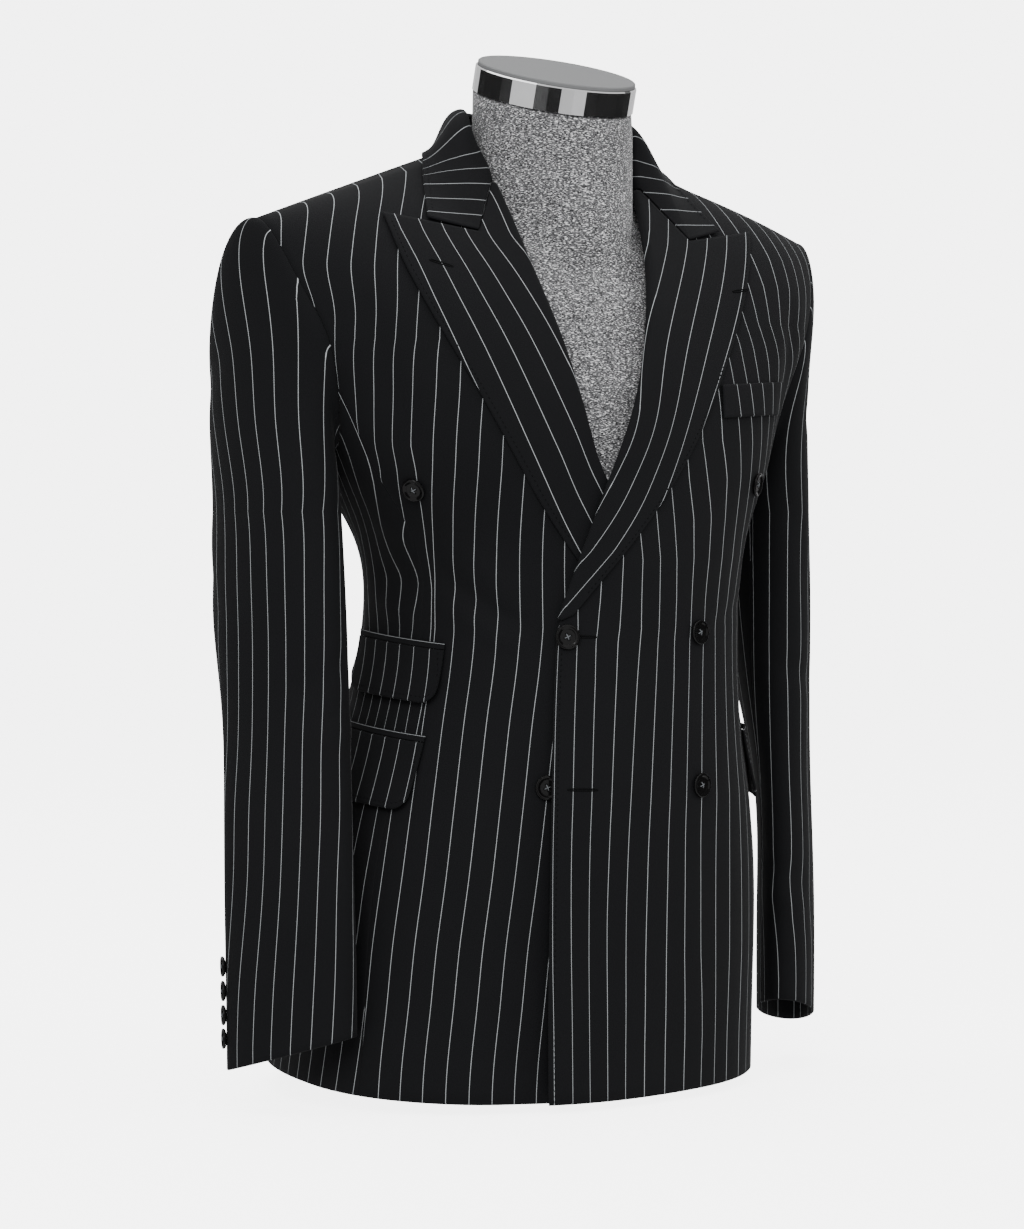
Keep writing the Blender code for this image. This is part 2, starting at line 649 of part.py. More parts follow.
def lapel(side, name, material):
    """Makes a lapel: it lies on the front and curls round the roll line at its inner edge."""
    drawing = lapel_drawing(side)
    places = body_place(drawing[..., 0], drawing[..., 1])
    share = np.linspace(0, 1, LAPEL_COLUMNS)[None, :]
    rise = smooth(np.linspace(0, 1, LAPEL_ROWS), 0.25, 0.75)[:, None]
    above = LAPEL_GAP + THIN_WALL + LAPEL_BLOOM * (1 - share) ** 2 * rise
    points, normals = on_front(side, places, above)
    base, base_normals = on_front(side, places[:, 0])
    along = unit(np.gradient(base, axis=0))
    aside = unit(np.cross(along, base_normals))
    inward = points[:, 1] - points[:, 0]
    aside = np.where(np.sum(aside * inward, axis=-1, keepdims=True) > 0, -aside, aside)
    curl_points, curl_normals = curl(base + aside * SEAM_GAP, aside, base_normals, above[:, :1])
    points = np.concatenate((curl_points, points), axis=1)
    normals = np.concatenate((curl_normals, normals), axis=1)
    return wall(name, points, normals, material, THIN_WALL)


def curl(base, aside, normals, radius, reach=QUARTER):
    """Gives the columns that turn a sheet's edge round base, as far as reach: their points and normals."""
    directions = [
        aside * np.sin(angle) + normals * np.cos(angle) for angle in np.linspace(reach, 0, CURL_STEPS + 1)[:-1]
    ]
    points = [base + direction * radius for direction in directions]
    return np.stack(points, axis=1), np.stack(directions, axis=1)


class Crease(NamedTuple):
    """A point of the left half of the collar's crease: share is 0 at the centre back and 1 at the gorge."""

    share: float
    x: float
    y: float
    height: float


CREASE = (
    Crease(share=0.00, x=0.0000, y=0.050, height=0.787), Crease(share=0.25, x=0.0410, y=0.038, height=0.787),
    Crease(share=0.48, x=0.0690, y=0.008, height=0.786), Crease(share=0.62, x=0.0755, y=-0.012, height=0.783),
    Crease(share=0.76, x=0.0770, y=-0.026, height=0.767), Crease(share=0.86, x=0.0740, y=-0.033, height=0.751),
    Crease(share=0.94, x=0.0705, y=-0.041, height=0.735),
)


class Rim(NamedTuple):
    """A point of the left half of the collar's outer edge, on the front, on the shoulder line or on the back."""

    share: float
    x: float
    height: float
    lies_on: str


COLLAR_RIM = (
    Rim(share=0.00, x=0.0000, height=0.7420, lies_on="back"), Rim(share=0.25, x=0.0480, height=0.7430, lies_on="back"),
    Rim(share=0.48, x=0.0860, height=0.7450, lies_on="back"), Rim(share=0.64, x=0.1050, height=0.7458, lies_on="line"),
    Rim(share=0.80, x=0.1180, height=0.7290, lies_on="front"), Rim(share=1.00, x=0.1350, height=0.6920, lies_on="front"),
)
COLLAR_LIFT = 1.2 * MM
COLLAR_STATIONS = 14  # on each half
COLLAR_COLUMNS = 6
COLLAR_ROLL = 0.9  # how far the fall stands up off a straight line where it leaves the crease
COLLAR_CURL = 1.5 * QUARTER
CREASE_RADIUS = 3.2 * MM
GORGE_GAP = 0.6 * MM
STAND_END = 0.90
SHOULDER_SHARE = 0.62  # where the neckline crosses from the back to the front
STAND_INSIDE = 2.2 * MM
STAND_ABOVE = 0.6 * MM


def rim_point(side, rim):
    """Gives a point of the collar's outer edge, just clear of what it lies on."""
    x = np.array([side * rim.x])
    place = body_place(x, np.array([rim.height]), back=rim.lies_on == "back")[0]
    if rim.lies_on == "line":
        place[1] = TOP_LEVEL - 1e-3
    out = LAPEL_GAP + WALL + COLLAR_LIFT
    return body_point(*place) + body_normal(*place) * out


def both_halves(points_of_side, shares):
    """Gives a 3D curve from the right gorge round the back to the left one, through each side's points."""
    right, left = points_of_side(-1), points_of_side(1)
    knots = [-share for share in reversed(shares)] + list(shares[1:])
    points = np.concatenate((right[::-1], left[1:]))
    at = np.linspace(-1, 1, 2 * COLLAR_STATIONS + 1)
    return np.stack([spline(knots, points[:, axis])(at) for axis in range(3)], axis=-1)


def gorge_edge(side):
    """Gives the collar's front end: along the gorge from the roll to the notch, then out to the corner."""
    roll = (LEFT_ROLL if side > 0 else RIGHT_ROLL)[-1]
    corners = np.array(((roll.x, roll.height), (side * NOTCH.x, NOTCH.height),
                        (side * COLLAR_CORNER.x, COLLAR_CORNER.height)))
    half = COLLAR_COLUMNS // 2
    gorge = corners[0] + np.linspace(0, 1, half)[:, None] * (corners[1] - corners[0])
    free = corners[1] + np.linspace(0, 1, COLLAR_COLUMNS - half + 1)[1:, None] * (corners[2] - corners[1])
    drawing = np.concatenate((gorge, free))
    share = np.linspace(0, 1, COLLAR_COLUMNS)
    above = LAPEL_GAP + WALL + COLLAR_LIFT * share + LAPEL_BLOOM * (1 - share) ** 2
    points, _ = on_front(side, body_place(drawing[:, 0], drawing[:, 1]), above)
    return points


def rim_normal(side, rim):
    """Gives the direction out of what the collar's outer edge lies on."""
    x = np.array([side * rim.x])
    return body_normal(*body_place(x, np.array([rim.height]), back=rim.lies_on == "back")[0])


def collar_surface():
    """Gives the collar fall's points and normals: rows round the neck, columns from the crease outward."""
    ends = {side: gorge_edge(side) for side in (-1, 1)}
    crease = both_halves(
        lambda side: np.array([(side * c.x, c.y, c.height) for c in CREASE] + [ends[side][0]]),
        [c.share for c in CREASE] + [1.0],
    )
    rim_shares = [r.share for r in COLLAR_RIM]
    rim = both_halves(
        lambda side: np.array([rim_point(side, r) for r in COLLAR_RIM[:-1]] + [ends[side][-1]]), rim_shares
    )
    lies_on = unit(both_halves(lambda side: np.array([rim_normal(side, r) for r in COLLAR_RIM]), rim_shares))
    chord = rim - crease
    length = np.linalg.norm(chord, axis=-1, keepdims=True)
    facing = unit(np.cross(np.gradient(crease, axis=0), chord))
    leave = unit(chord / length + COLLAR_ROLL * facing) * length
    arrive = unit(chord - lies_on * np.sum(chord * lies_on, axis=-1, keepdims=True)) * length
    t = np.linspace(0, 1, COLLAR_COLUMNS)[None, :, None]
    points = (
        (2 * t**3 - 3 * t**2 + 1) * crease[:, None]
        + (t**3 - 2 * t**2 + t) * leave[:, None]
        + (3 * t**2 - 2 * t**3) * rim[:, None]
        + (t**3 - t**2) * arrive[:, None]
    )
    place = np.linspace(-1, 1, len(points))[:, None, None]
    for side in (-1, 1):
        row = 0 if side < 0 else -1
        points = points + (ends[side] - points[row]) * smooth(side * place, 0.75, 1.0)
    points[0] += unit(points[1] - points[0]) * GORGE_GAP
    points[-1] += unit(points[-2] - points[-1]) * GORGE_GAP
    normals = unit(np.cross(np.gradient(points, axis=0), np.gradient(points, axis=1)))
    return points, normals


def crease_radius():
    """Gives the radius of the collar's fold at each station: it meets the lapels' at its ends."""
    share = np.abs(np.linspace(-1, 1, 2 * COLLAR_STATIONS + 1))
    end_radius = LAPEL_GAP + WALL + LAPEL_BLOOM
    return (CREASE_RADIUS + (end_radius - CREASE_RADIUS) * smooth(share, 0.7, 1.0))[:, None]


def collar_fold():
    """Gives the fall's grid, and the middle, the two directions and the radius of the fold at its crease."""
    points, normals = collar_surface()
    radius = crease_radius()
    base = points[:, 0] - normals[:, 0] * radius
    along = unit(np.gradient(points[:, 0], axis=0))
    aside = unit(np.cross(along, normals[:, 0]))
    inward = points[:, 1] - points[:, 0]
    aside = np.where(np.sum(aside * inward, axis=-1, keepdims=True) > 0, -aside, aside)
    return points, normals, base, aside, radius


def collar_fall(name, material):
    """Makes the collar's outer leaf, folded over at its crease."""
    points, normals, base, aside, radius = collar_fold()
    turned_points, turned_normals = curl(base, aside, normals[:, 0], radius, COLLAR_CURL)
    points = np.concatenate((turned_points, points), axis=1)
    normals = np.concatenate((turned_normals, normals), axis=1)
    return wall(name, points, normals, material)


def neckline(side, shares):
    """Gives points just above the body's neckline, from the centre back to the gorge."""
    points = []
    for share in shares:
        if share < SHOULDER_SHARE:
            x = NECK_POINT[0] * np.sin(share / SHOULDER_SHARE * QUARTER)
            place = body_place(np.array([side * x]), back_neck_height(np.array([x])), back=True)[0]
            if share < 1e-6:
                place[0] = side * HALF_TURN
        else:
            rise = (share - SHOULDER_SHARE) / (1 - SHOULDER_SHARE)
            roll = (LEFT_ROLL if side > 0 else RIGHT_ROLL)[-1]
            x = side * NECK_POINT[0] + rise * (roll.x - side * NECK_POINT[0])
            z = NECK_POINT[1] - 1e-3 + rise * (roll.height - NECK_POINT[1])
            place = body_place(np.array([x]), np.array([z]))[0]
        points.append(body_point(*place))
    return np.array(points)


def collar_stand(name, material):
    """Makes the collar's inner leaf, which stands on the neckline inside the fall."""
    _, normals, base, aside, radius = collar_fold()
    shares = np.linspace(-1, 1, len(base))
    kept = np.abs(shares) < STAND_END
    out, across = normals[:, 0][kept], aside[kept]
    fold_end = across * np.sin(COLLAR_CURL) + out * np.cos(COLLAR_CURL)
    going_on = across * np.cos(COLLAR_CURL) - out * np.sin(COLLAR_CURL)
    top = base[kept] + fold_end * radius[kept] + going_on * 2 * SEAM_GAP
    right, left = kept & (shares < -1e-9), kept & (shares > -1e-9)
    low = np.concatenate((neckline(-1, -shares[right]), neckline(1, shares[left])))
    away = unit((low - np.array((0.0, NECK_CENTRE_Y, 0.0))) * np.array((1, 1, 0)))
    low = low - away * STAND_INSIDE + np.array((0, 0, STAND_ABOVE))
    share = np.linspace(0, 1, 4)[None, :, None]
    grid = top[:, None] * (1 - share) + low[:, None] * share
    facing = unit(np.cross(np.gradient(grid, axis=1), np.gradient(grid, axis=0)))
    facing = np.where(np.sum(facing * away[:, None], axis=-1, keepdims=True) > 0, -facing, facing)
    return wall(name, grid, facing, material, THIN_WALL)


# Pockets

POCKET_SLOPE = 0.09  # how much a pocket rises toward the back
FLAP_CORNER = 0.014
FLAP_ROWS = 3
JET_HEIGHT = 5.0 * MM
WELT_GAP = 1.2 * MM
WELT_LOW_LEFT = (0.0862, 0.5425)
WELT_LOW_RIGHT = (0.1700, 0.5480)
WELT_UPWARD = (0.003, 0.026)
WELT_ROWS = 3
WELT_COLUMNS = 6
FLAP_STAND_OFF = 2.5 * MM


class Pocket(NamedTuple):
    """A flapped pocket: its front end, its length round the body, its flap's depth and its gap to the cloth."""

    name: str
    side: int
    x: float
    height: float
    length: float
    depth: float
    gap: float


POCKETS = (
    Pocket(name="hip", side=1, x=0.137, height=0.2930, length=0.138, depth=0.052, gap=1.8 * MM),
    Pocket(name="hip", side=-1, x=-0.147, height=0.2950, length=0.138, depth=0.052, gap=1.6 * MM),
    Pocket(name="ticket", side=-1, x=-0.131, height=0.3650, length=0.105, depth=0.042, gap=1.7 * MM),
)
# How far along a pocket each column lies: the columns are closest where a flap's corners round off.
POCKET_SHARES = np.array((0.0, 0.022, 0.065, 0.13, 0.38, 0.62, 0.87, 0.935, 0.978, 1.0))


def round_body(side, angle, level, distance):
    """Gives the angle that lies a distance further back round the body at one level."""
    steps = 20
    for _ in range(steps):
        speed = np.linalg.norm(body_point(angle + 1e-3, level) - body_point(angle - 1e-3, level)) / 2e-3
        angle = angle + side * distance / steps / speed
    return angle


def pocket_places(pocket, drops):
    """Gives places along a pocket at each drop below its line: rows go down, columns go back."""
    angle, level = body_place(np.array([pocket.x]), np.array([pocket.height]))[0]
    rows = []
    along = POCKET_SHARES * pocket.length
    for drop in np.broadcast_to(drops, (len(drops), len(along))):
        line = level + POCKET_SLOPE * along - drop
        angles = [round_body(pocket.side, angle, height, reach) for height, reach in zip(line, along)]
        rows.append(np.stack((np.array(angles), line), axis=-1))
    return np.stack(rows)


def jet(pocket, name, material):
    """Makes the narrow jet along the top of a flap."""
    drops = np.array(((-JET_HEIGHT,), (0.0,)))
    points, normals = on_front(pocket.side, pocket_places(pocket, drops), pocket.gap + THIN_WALL)
    return wall(name, points, normals, material, THIN_WALL)


def flap(pocket, name, material):
    """Makes a pocket flap, which hangs from its jet and stands off a little below."""
    along = POCKET_SHARES * pocket.length
    from_end = np.minimum(along, pocket.length - along)
    inside = np.clip(FLAP_CORNER - from_end, 0, FLAP_CORNER)
    depth = pocket.depth - FLAP_CORNER + np.sqrt(FLAP_CORNER**2 - inside**2)
    share = np.linspace(0, 1, FLAP_ROWS + 1)[:, None]
    drops = SEAM_GAP + share * (depth - SEAM_GAP)
    stand_off = FLAP_STAND_OFF * share**2
    out = pocket.gap + WALL + stand_off + np.zeros_like(along)
    points, normals = on_front(pocket.side, pocket_places(pocket, drops), out)
    return wall(name, points, normals, material)


def chest_welt(name, material):
    """Makes the slanted welt of the breast pocket."""
    low_left, low_right, upward = (np.array(pair) for pair in (WELT_LOW_LEFT, WELT_LOW_RIGHT, WELT_UPWARD))
    rise = np.linspace(0, 1, WELT_ROWS)[:, None] * upward
    bottom = low_left + np.linspace(0, 1, WELT_COLUMNS)[:, None] * (low_right - low_left)
    drawing = patch(bottom, bottom + upward, low_left + rise, low_right + rise)
    points, normals = on_front(1, body_place(drawing[..., 0], drawing[..., 1]), WELT_GAP + THIN_WALL)
    return wall(name, points, normals, material, THIN_WALL)


# Buttons


class Button(NamedTuple):
    """A front button: where its centre is, and the side whose front it is sewn to."""

    name: str
    side: int
    x: float
    height: float


FRONT_BUTTONS = (
    Button(name="top_right", side=-1, x=-0.1565, height=0.487),
    Button(name="top_left", side=1, x=0.1350, height=0.492),
    Button(name="middle_right", side=1, x=-0.0615, height=0.3755),
    Button(name="middle_left", side=1, x=0.0549, height=0.3775),
    Button(name="bottom_right", side=-1, x=-0.0790, height=0.2625),
    Button(name="bottom_left", side=1, x=0.0562, height=0.2600),
)
BUTTON_RADIUS = 9.5 * MM
CUFF_BUTTON_RADIUS = 7.8 * MM
BUTTON_SEAT = 0.4 * MM


def button_profile(radius):
    """Gives a button's turned outline: a round back, a raised rim and a sunk middle."""
    return (
        (0.72 * radius, 0.0), (radius, 1.6 * MM), (0.95 * radius, 3.0 * MM), (0.78 * radius, 3.2 * MM),
        (0.60 * radius, 2.1 * MM),
    )


def front_button(button, name, material):
    """Makes a front button on the front that carries it."""
    place = body_place(np.array([button.x]), np.array([button.height]))
    points, normals = on_front(button.side, place, BUTTON_SEAT)
    return turned(name, button_profile(BUTTON_RADIUS), 14, material, points[0], normals[0])


CUFF_BUTTONS = 4
CUFF_BUTTON_LOWEST = 0.038
CUFF_BUTTON_PITCH = 0.0168
CUFF_BUTTON_TURN = np.radians(-76)


def cuff_button(side, index, name, material):
    """Makes one of the buttons beside the back seam of a cuff."""
    height = SLEEVE[-1].height - CUFF_SLANT + CUFF_BUTTON_LOWEST + index * CUFF_BUTTON_PITCH
    turn = np.array([CUFF_BUTTON_TURN])
    step = 1e-3
    point = sleeve_ring(side, turn, height)[0]
    around = sleeve_ring(side, turn + step, height)[0] - sleeve_ring(side, turn - step, height)[0]
    up = sleeve_ring(side, turn, height + step)[0] - sleeve_ring(side, turn, height - step)[0]
    normal = unit(np.cross(around, up)) * side
    if np.dot(normal[:2], point[:2] - np.array((side * sleeve_x(-height), sleeve_y(-height)))) < 0:
        normal = -normal
    seat = point + normal * BUTTON_SEAT
    return turned(name, button_profile(CUFF_BUTTON_RADIUS), 10, material, seat, normal)


# The dress form

FORM_CLEAR = 0.009
FORM_SHOULDER_GAP = 1.6 * MM
FORM_SEAT = 0.172  # the form's seat reaches no further back than this, and the skirt hangs clear behind it
FORM_NECK_CLEAR = 0.005
FORM_NECK_BAND = (0.11, 0.17)
FORM_NECK_RISE = (0.728, 0.744)  # between these heights the shoulders turn into the neck
FORM_BOTTOM = 0.045
FORM_SHOULDER = 0.212  # the form's shoulders end here, flat, inside the armholes
FORM_SIDES = 40
FORM_CHEST_TOP = 0.63
FORM_CHEST_RINGS = 10
FORM_SHOULDER_RINGS = (0.660, 0.680, 0.700, 0.714, 0.726, 0.736, 0.745, 0.752, 0.758, 0.765)
FORM_EDGE_SHARE = 0.97  # the torso's underside is this much narrower, which rounds its lower edge
FORM_EDGE_HEIGHT = 0.006
NECK_CENTRE_Y = -0.022
NECK_RADIUS = 0.0635
NECK_TOP = 0.7935
NECK_TILT = np.radians(17)
BAND_HEIGHT = 0.021
CAP_HEIGHT = 0.003
BASE_RADIUS = 0.110
BASE_HEIGHT = 0.008
POST_RADIUS = 0.020


def form_inside(x, y, z):
    """Gives how far inside the form's shoulders and chest each point is; it is positive inside."""
    near_neck = FORM_NECK_CLEAR * (1 - smooth(np.abs(x), *FORM_NECK_BAND))
    line = ridge_height(x) - WALL - FORM_SHOULDER_GAP - near_neck
    rise = np.maximum(line - CHEST_LEVEL, 1e-4)
    arch = np.arcsin(np.clip((z - CHEST_LEVEL) / rise, -1, 1))
    level = np.where(z < CHEST_LEVEL, z, CHEST_LEVEL + LEVEL_PER_RADIAN * arch)
    fore = y < SHOULDER_Y
    half_width = half_width_at(level) - FORM_CLEAR
    ratio = np.clip((x - sway_at(level)) / half_width, -1, 1)
    reach = np.where(fore, front_at(level), np.minimum(back_at(level), FORM_SEAT)) - FORM_CLEAR
    steeper = np.where(fore, FRONT_NECK_SLOPE, BACK_NECK_SLOPE) * (1 - smooth(np.abs(x), *NECK_SLOPE_BAND))
    shrink = np.where(z < CHEST_LEVEL, 1.0, np.cos(np.clip(arch, 0, QUARTER)) ** (1 + steeper))
    deep = reach * np.sqrt(1 - ratio**2) * shrink
    inside = deep - near_neck * smooth(z, 0.60, 0.68) - np.abs(y - SHOULDER_Y)
    inside = np.where(np.abs(x - sway_at(level)) > half_width, -1.0, inside)
    inside = np.where(z > line, -1.0, inside)
    return np.where(np.abs(x) > FORM_SHOULDER, -1.0, inside)


def form_ring(height, turn):
    """Gives the form's outline at one height, seen from the middle of the neck."""
    centre = np.array((0.0, NECK_CENTRE_Y))
    near, far = np.zeros_like(turn), np.full_like(turn, 0.30)
    for _ in range(30):
        middle = (near + far) / 2
        x = centre[0] + middle * np.sin(turn)
        y = centre[1] - middle * np.cos(turn)
        inside = form_inside(x, y, np.full_like(turn, height)) > 0
        near, far = np.where(inside, middle, near), np.where(inside, far, middle)
    shoulder = np.maximum(near, NECK_RADIUS) if height > FORM_NECK_RISE[0] - 0.05 else near
    radius = shoulder + (NECK_RADIUS - shoulder) * smooth(height, *FORM_NECK_RISE)
    return stack(centre[0] + radius * np.sin(turn), centre[1] - radius * np.cos(turn), height)


def form_torso(name, material):
    """Makes the form's padded torso and neck as one closed body."""
    turn = np.arange(FORM_SIDES) * 2 * HALF_TURN / FORM_SIDES
    low = np.linspace(FORM_BOTTOM, FORM_CHEST_TOP, FORM_CHEST_RINGS)
    rings = [form_ring(height, turn) for height in (*low, *FORM_SHOULDER_RINGS)]
    middle = np.array((0, NECK_CENTRE_Y))
    first = rings[0].copy()
    first[:, :2] = middle + FORM_EDGE_SHARE * (first[:, :2] - middle)
    rings[0][:, 2] += FORM_EDGE_HEIGHT
    rings.insert(0, first)
    rings.append(neck_disc(turn, NECK_RADIUS, 0.0))
    points = np.concatenate(rings)
    count = len(rings)
    faces = [tuple(range(FORM_SIDES))]
    for k in range(count - 1):
        for i in range(FORM_SIDES):
            j = (i + 1) % FORM_SIDES
            faces.append((k * FORM_SIDES + j, k * FORM_SIDES + i, (k + 1) * FORM_SIDES + i, (k + 1) * FORM_SIDES + j))
    last = (count - 1) * FORM_SIDES
    faces.append(tuple(last + i for i in reversed(range(FORM_SIDES))))
    return solid(name, points, [tuple(reversed(face)) for face in faces], material)


def neck_disc(turn, radius, above):
    """Gives a ring of the neck's tilted top, a distance above the cloth's end."""
    out = stack(np.sin(turn), -np.cos(turn) * np.cos(NECK_TILT), -np.cos(turn) * np.sin(NECK_TILT))
    up = np.array((0.0, -np.sin(NECK_TILT), np.cos(NECK_TILT)))
    centre = np.array((0.0, NECK_CENTRE_Y, NECK_TOP))
    return centre + radius * out + above * up


def neck_piece(name, profile, material):
    """Makes a turned piece of the neck's cap from (radius, height above the cloth) rings."""
    turn = np.arange(FORM_SIDES) * 2 * HALF_TURN / FORM_SIDES
    points = np.concatenate([neck_disc(turn, radius, above) for radius, above in profile])
    faces = [tuple(reversed(range(FORM_SIDES)))]
    for k in range(len(profile) - 1):
        for i in range(FORM_SIDES):
            j = (i + 1) % FORM_SIDES
            faces.append((k * FORM_SIDES + i, k * FORM_SIDES + j, (k + 1) * FORM_SIDES + j, (k + 1) * FORM_SIDES + i))
    last = (len(profile) - 1) * FORM_SIDES
    faces.append(tuple(last + i for i in range(FORM_SIDES)))
    return solid(name, points, faces, material)


def form_band(name, material):
    """Makes the polished band round the neck's top."""
    top = SEAM_GAP + BAND_HEIGHT
    radius = NECK_RADIUS + 0.8 * MM
    profile = ((radius - 2 * MM, SEAM_GAP), (radius, SEAM_GAP + 1 * MM), (radius, top - 1 * MM), (radius - 1 * MM, top))
    return neck_piece(name, profile, material)


def form_cap(name, material):
    """Makes the flat cap that lies on the band."""
    low = 2 * SEAM_GAP + BAND_HEIGHT
    radius = NECK_RADIUS - 0.6 * MM
    profile = ((radius, low), (radius, low + CAP_HEIGHT - 0.8 * MM), (radius - 0.8 * MM, low + CAP_HEIGHT))
    return neck_piece(name, profile, material)


def form_base(name, material):
    """Makes the round foot plate and the short post that carries the torso."""
    profile = (
        (BASE_RADIUS, 0.0), (BASE_RADIUS, BASE_HEIGHT - 2 * MM), (BASE_RADIUS - 2 * MM, BASE_HEIGHT),
        (POST_RADIUS, BASE_HEIGHT), (POST_RADIUS, FORM_BOTTOM - FLOOR - SEAM_GAP),
    )
    centre = -ORIGIN_SHIFT
    return turned(name, profile, 32, material, centre, (0, 0, 1))


def main():
    """Builds every piece."""
    for old in list(bpy.data.objects):
        bpy.data.objects.remove(old)
    cloth = paint("cloth", (0.009, 0.009, 0.010), 0.85)
    button_black = paint("button_black", (0.006, 0.006, 0.007), 0.25)
    heather = paint("heather", (0.12, 0.12, 0.12), 0.9)
    chrome = paint("chrome", (0.75, 0.75, 0.75), 0.08, 1.0)
    grey_top = paint("grey_top", (0.16, 0.16, 0.16), 0.6)
    foot_black = paint("foot_black", (0.02, 0.02, 0.02), 0.5)
    words = {1: "left", -1: "right"}
    for side, word in words.items():
        front(side, f"front_{word}", cloth)
        side_panel(side, f"side_panel_{word}", cloth)
        back(side, f"back_{word}", cloth)
        first, last = UNDER_STATIONS
        sleeve_piece(side, last, ARMHOLE_STATIONS + first, f"upper_sleeve_{word}", cloth)
        sleeve_piece(side, first, last, f"under_sleeve_{word}", cloth)
        lapel(side, f"lapel_{word}", cloth)
        for index in range(CUFF_BUTTONS):
            cuff_button(side, index, f"cuff_button_{word}_{index + 1}", button_black)
    collar_fall("collar_fall", cloth)
    collar_stand("collar_stand", cloth)
    chest_welt("chest_welt", cloth)
    for pocket in POCKETS:
        jet(pocket, f"{pocket.name}_jet_{words[pocket.side]}", cloth)
        flap(pocket, f"{pocket.name}_flap_{words[pocket.side]}", cloth)
    for button in FRONT_BUTTONS:
        front_button(button, f"button_{button.name}", button_black)
    form_torso("form_torso", heather)
    form_band("form_band", chrome)
    form_cap("form_cap", grey_top)
    form_base("form_base", foot_black)


main()
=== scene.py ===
"""Dresses a double-breasted suit jacket and the dress form that it stands on.

Metres, +Z up. The front faces -Y and the wearer's left is +X. The body's cloth is one smooth surface, read by an
angle round from the front centre and a level up it; each panel is a fine closed wall on that surface, with soft
folds, and carries a map that says in metres where its stripes run.
"""

import logging
from collections.abc import Callable, Sequence
from dataclasses import dataclass, field
from enum import Enum
from typing import Any, NamedTuple

import bpy
import numpy as np
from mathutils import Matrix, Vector
from numpy.typing import NDArray

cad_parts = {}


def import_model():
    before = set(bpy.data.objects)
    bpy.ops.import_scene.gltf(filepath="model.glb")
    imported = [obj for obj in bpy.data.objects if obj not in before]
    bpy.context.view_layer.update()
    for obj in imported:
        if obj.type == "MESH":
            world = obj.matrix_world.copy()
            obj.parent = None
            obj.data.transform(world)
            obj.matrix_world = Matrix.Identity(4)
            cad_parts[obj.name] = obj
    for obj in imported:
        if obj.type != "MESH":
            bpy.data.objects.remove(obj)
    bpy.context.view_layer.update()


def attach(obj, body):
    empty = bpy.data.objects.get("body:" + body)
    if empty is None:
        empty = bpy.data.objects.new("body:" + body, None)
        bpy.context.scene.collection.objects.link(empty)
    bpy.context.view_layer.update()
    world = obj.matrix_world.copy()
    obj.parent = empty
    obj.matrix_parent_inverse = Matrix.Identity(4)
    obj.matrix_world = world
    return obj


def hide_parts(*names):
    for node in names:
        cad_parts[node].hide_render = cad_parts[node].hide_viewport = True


Array = NDArray[np.float64]
Faces = list[list[int]]

MM = 0.001
HALF_TURN = np.pi
QUARTER = np.pi / 2
FLOOR = 0.018
ORIGIN_SHIFT = np.array((0.0025, -0.0260, -FLOOR))
WALL = 2.0 * MM
THIN_WALL = 1.6 * MM
SEAM_GAP = 0.3 * MM
SEAM_LAP = 0.3 * MM  # how far the edges of two pieces run into each other along a seam
FINE = 8  # how many cells of a fine grid lie in one of the solid's
STRIPE_PITCH = 17.5 * MM
LEAST_CUT = 0.010  # a narrow strip is cut at least this wide, and folded
LEAST_FILL = 0.31  # a piece fills at least this share of the rectangle that it is cut from
EDGES = ((0, 1), (-1, -2))  # a grid's first and last line, each with the next line inside it
STITCH_INSET = 4.5 * MM
STITCH_PITCH = 4.2 * MM
STITCH_LENGTH = 1.5 * MM
STITCH_RADIUS = 0.22 * MM
STITCH_SIDES = 5
THREAD_SIDES = 8
BUTTON_LIFT = 0.4 * MM  # how far a button stands off the cloth on its thread

log = logging.getLogger("jacket")


class Side(Enum):
    """The wearer's left or right, with its sign along X."""

    LEFT = 1
    RIGHT = -1

    @property
    def word(self) -> str:
        """Gives the side's name in small letters."""
        return self.name.lower()


# Small tools


class Curve:
    """A natural cubic curve through values at knots."""

    def __init__(self, knots: Sequence[float], values: Sequence[float]) -> None:
        """Solves the curve's bends.

        Args:
            knots: where the values lie, rising.
            values: what the curve passes through.
        """
        self.x, self.y = np.asarray(knots, float), np.asarray(values, float)
        self.step = np.diff(self.x)
        count = len(self.x)
        system, wanted = np.eye(count), np.zeros(count)
        slope = np.diff(self.y) / self.step
        for i in range(1, count - 1):
            before, after = self.step[i - 1], self.step[i]
            system[i, i - 1 : i + 2] = before, 2 * (before + after), after
            wanted[i] = 6 * (slope[i] - slope[i - 1])
        self.bend = np.linalg.solve(system, wanted)

    def __call__(self, place: Array | float) -> Array:
        """Gives the curve's value at each place, held at its ends.

        Args:
            place: where to read the curve.

        Returns:
            The values there.
        """
        place = np.clip(place, self.x[0], self.x[-1])
        i = np.clip(np.searchsorted(self.x, place) - 1, 0, len(self.x) - 2)
        step, bend = self.step[i], self.bend
        before, after = place - self.x[i], self.x[i + 1] - place
        cubic = (bend[i] * after**3 + bend[i + 1] * before**3) / (6 * step)
        low = self.y[i] / step - bend[i] * step / 6
        high = self.y[i + 1] / step - bend[i + 1] * step / 6
        return cubic + low * after + high * before


def curves(rows: Sequence[Sequence[float]]) -> list[Curve]:
    """Gives a curve for each further column of a table, over its first one."""
    knots, *columns = zip(*rows)
    return [Curve(knots, column) for column in columns]


def smooth(value: Array | float, low: float, high: float) -> Array:
    """Gives 0 below low, 1 above high and a soft step between them."""
    t = np.clip((value - low) / (high - low), 0, 1)
    return t * t * (3 - 2 * t)


def unit(vectors: Array) -> Array:
    """Gives vectors scaled to length 1."""
    return vectors / np.linalg.norm(vectors, axis=-1, keepdims=True)


def stack(*coordinates: Array | float) -> Array:
    """Gives points from their coordinates."""
    return np.stack(np.broadcast_arrays(*coordinates), axis=-1)


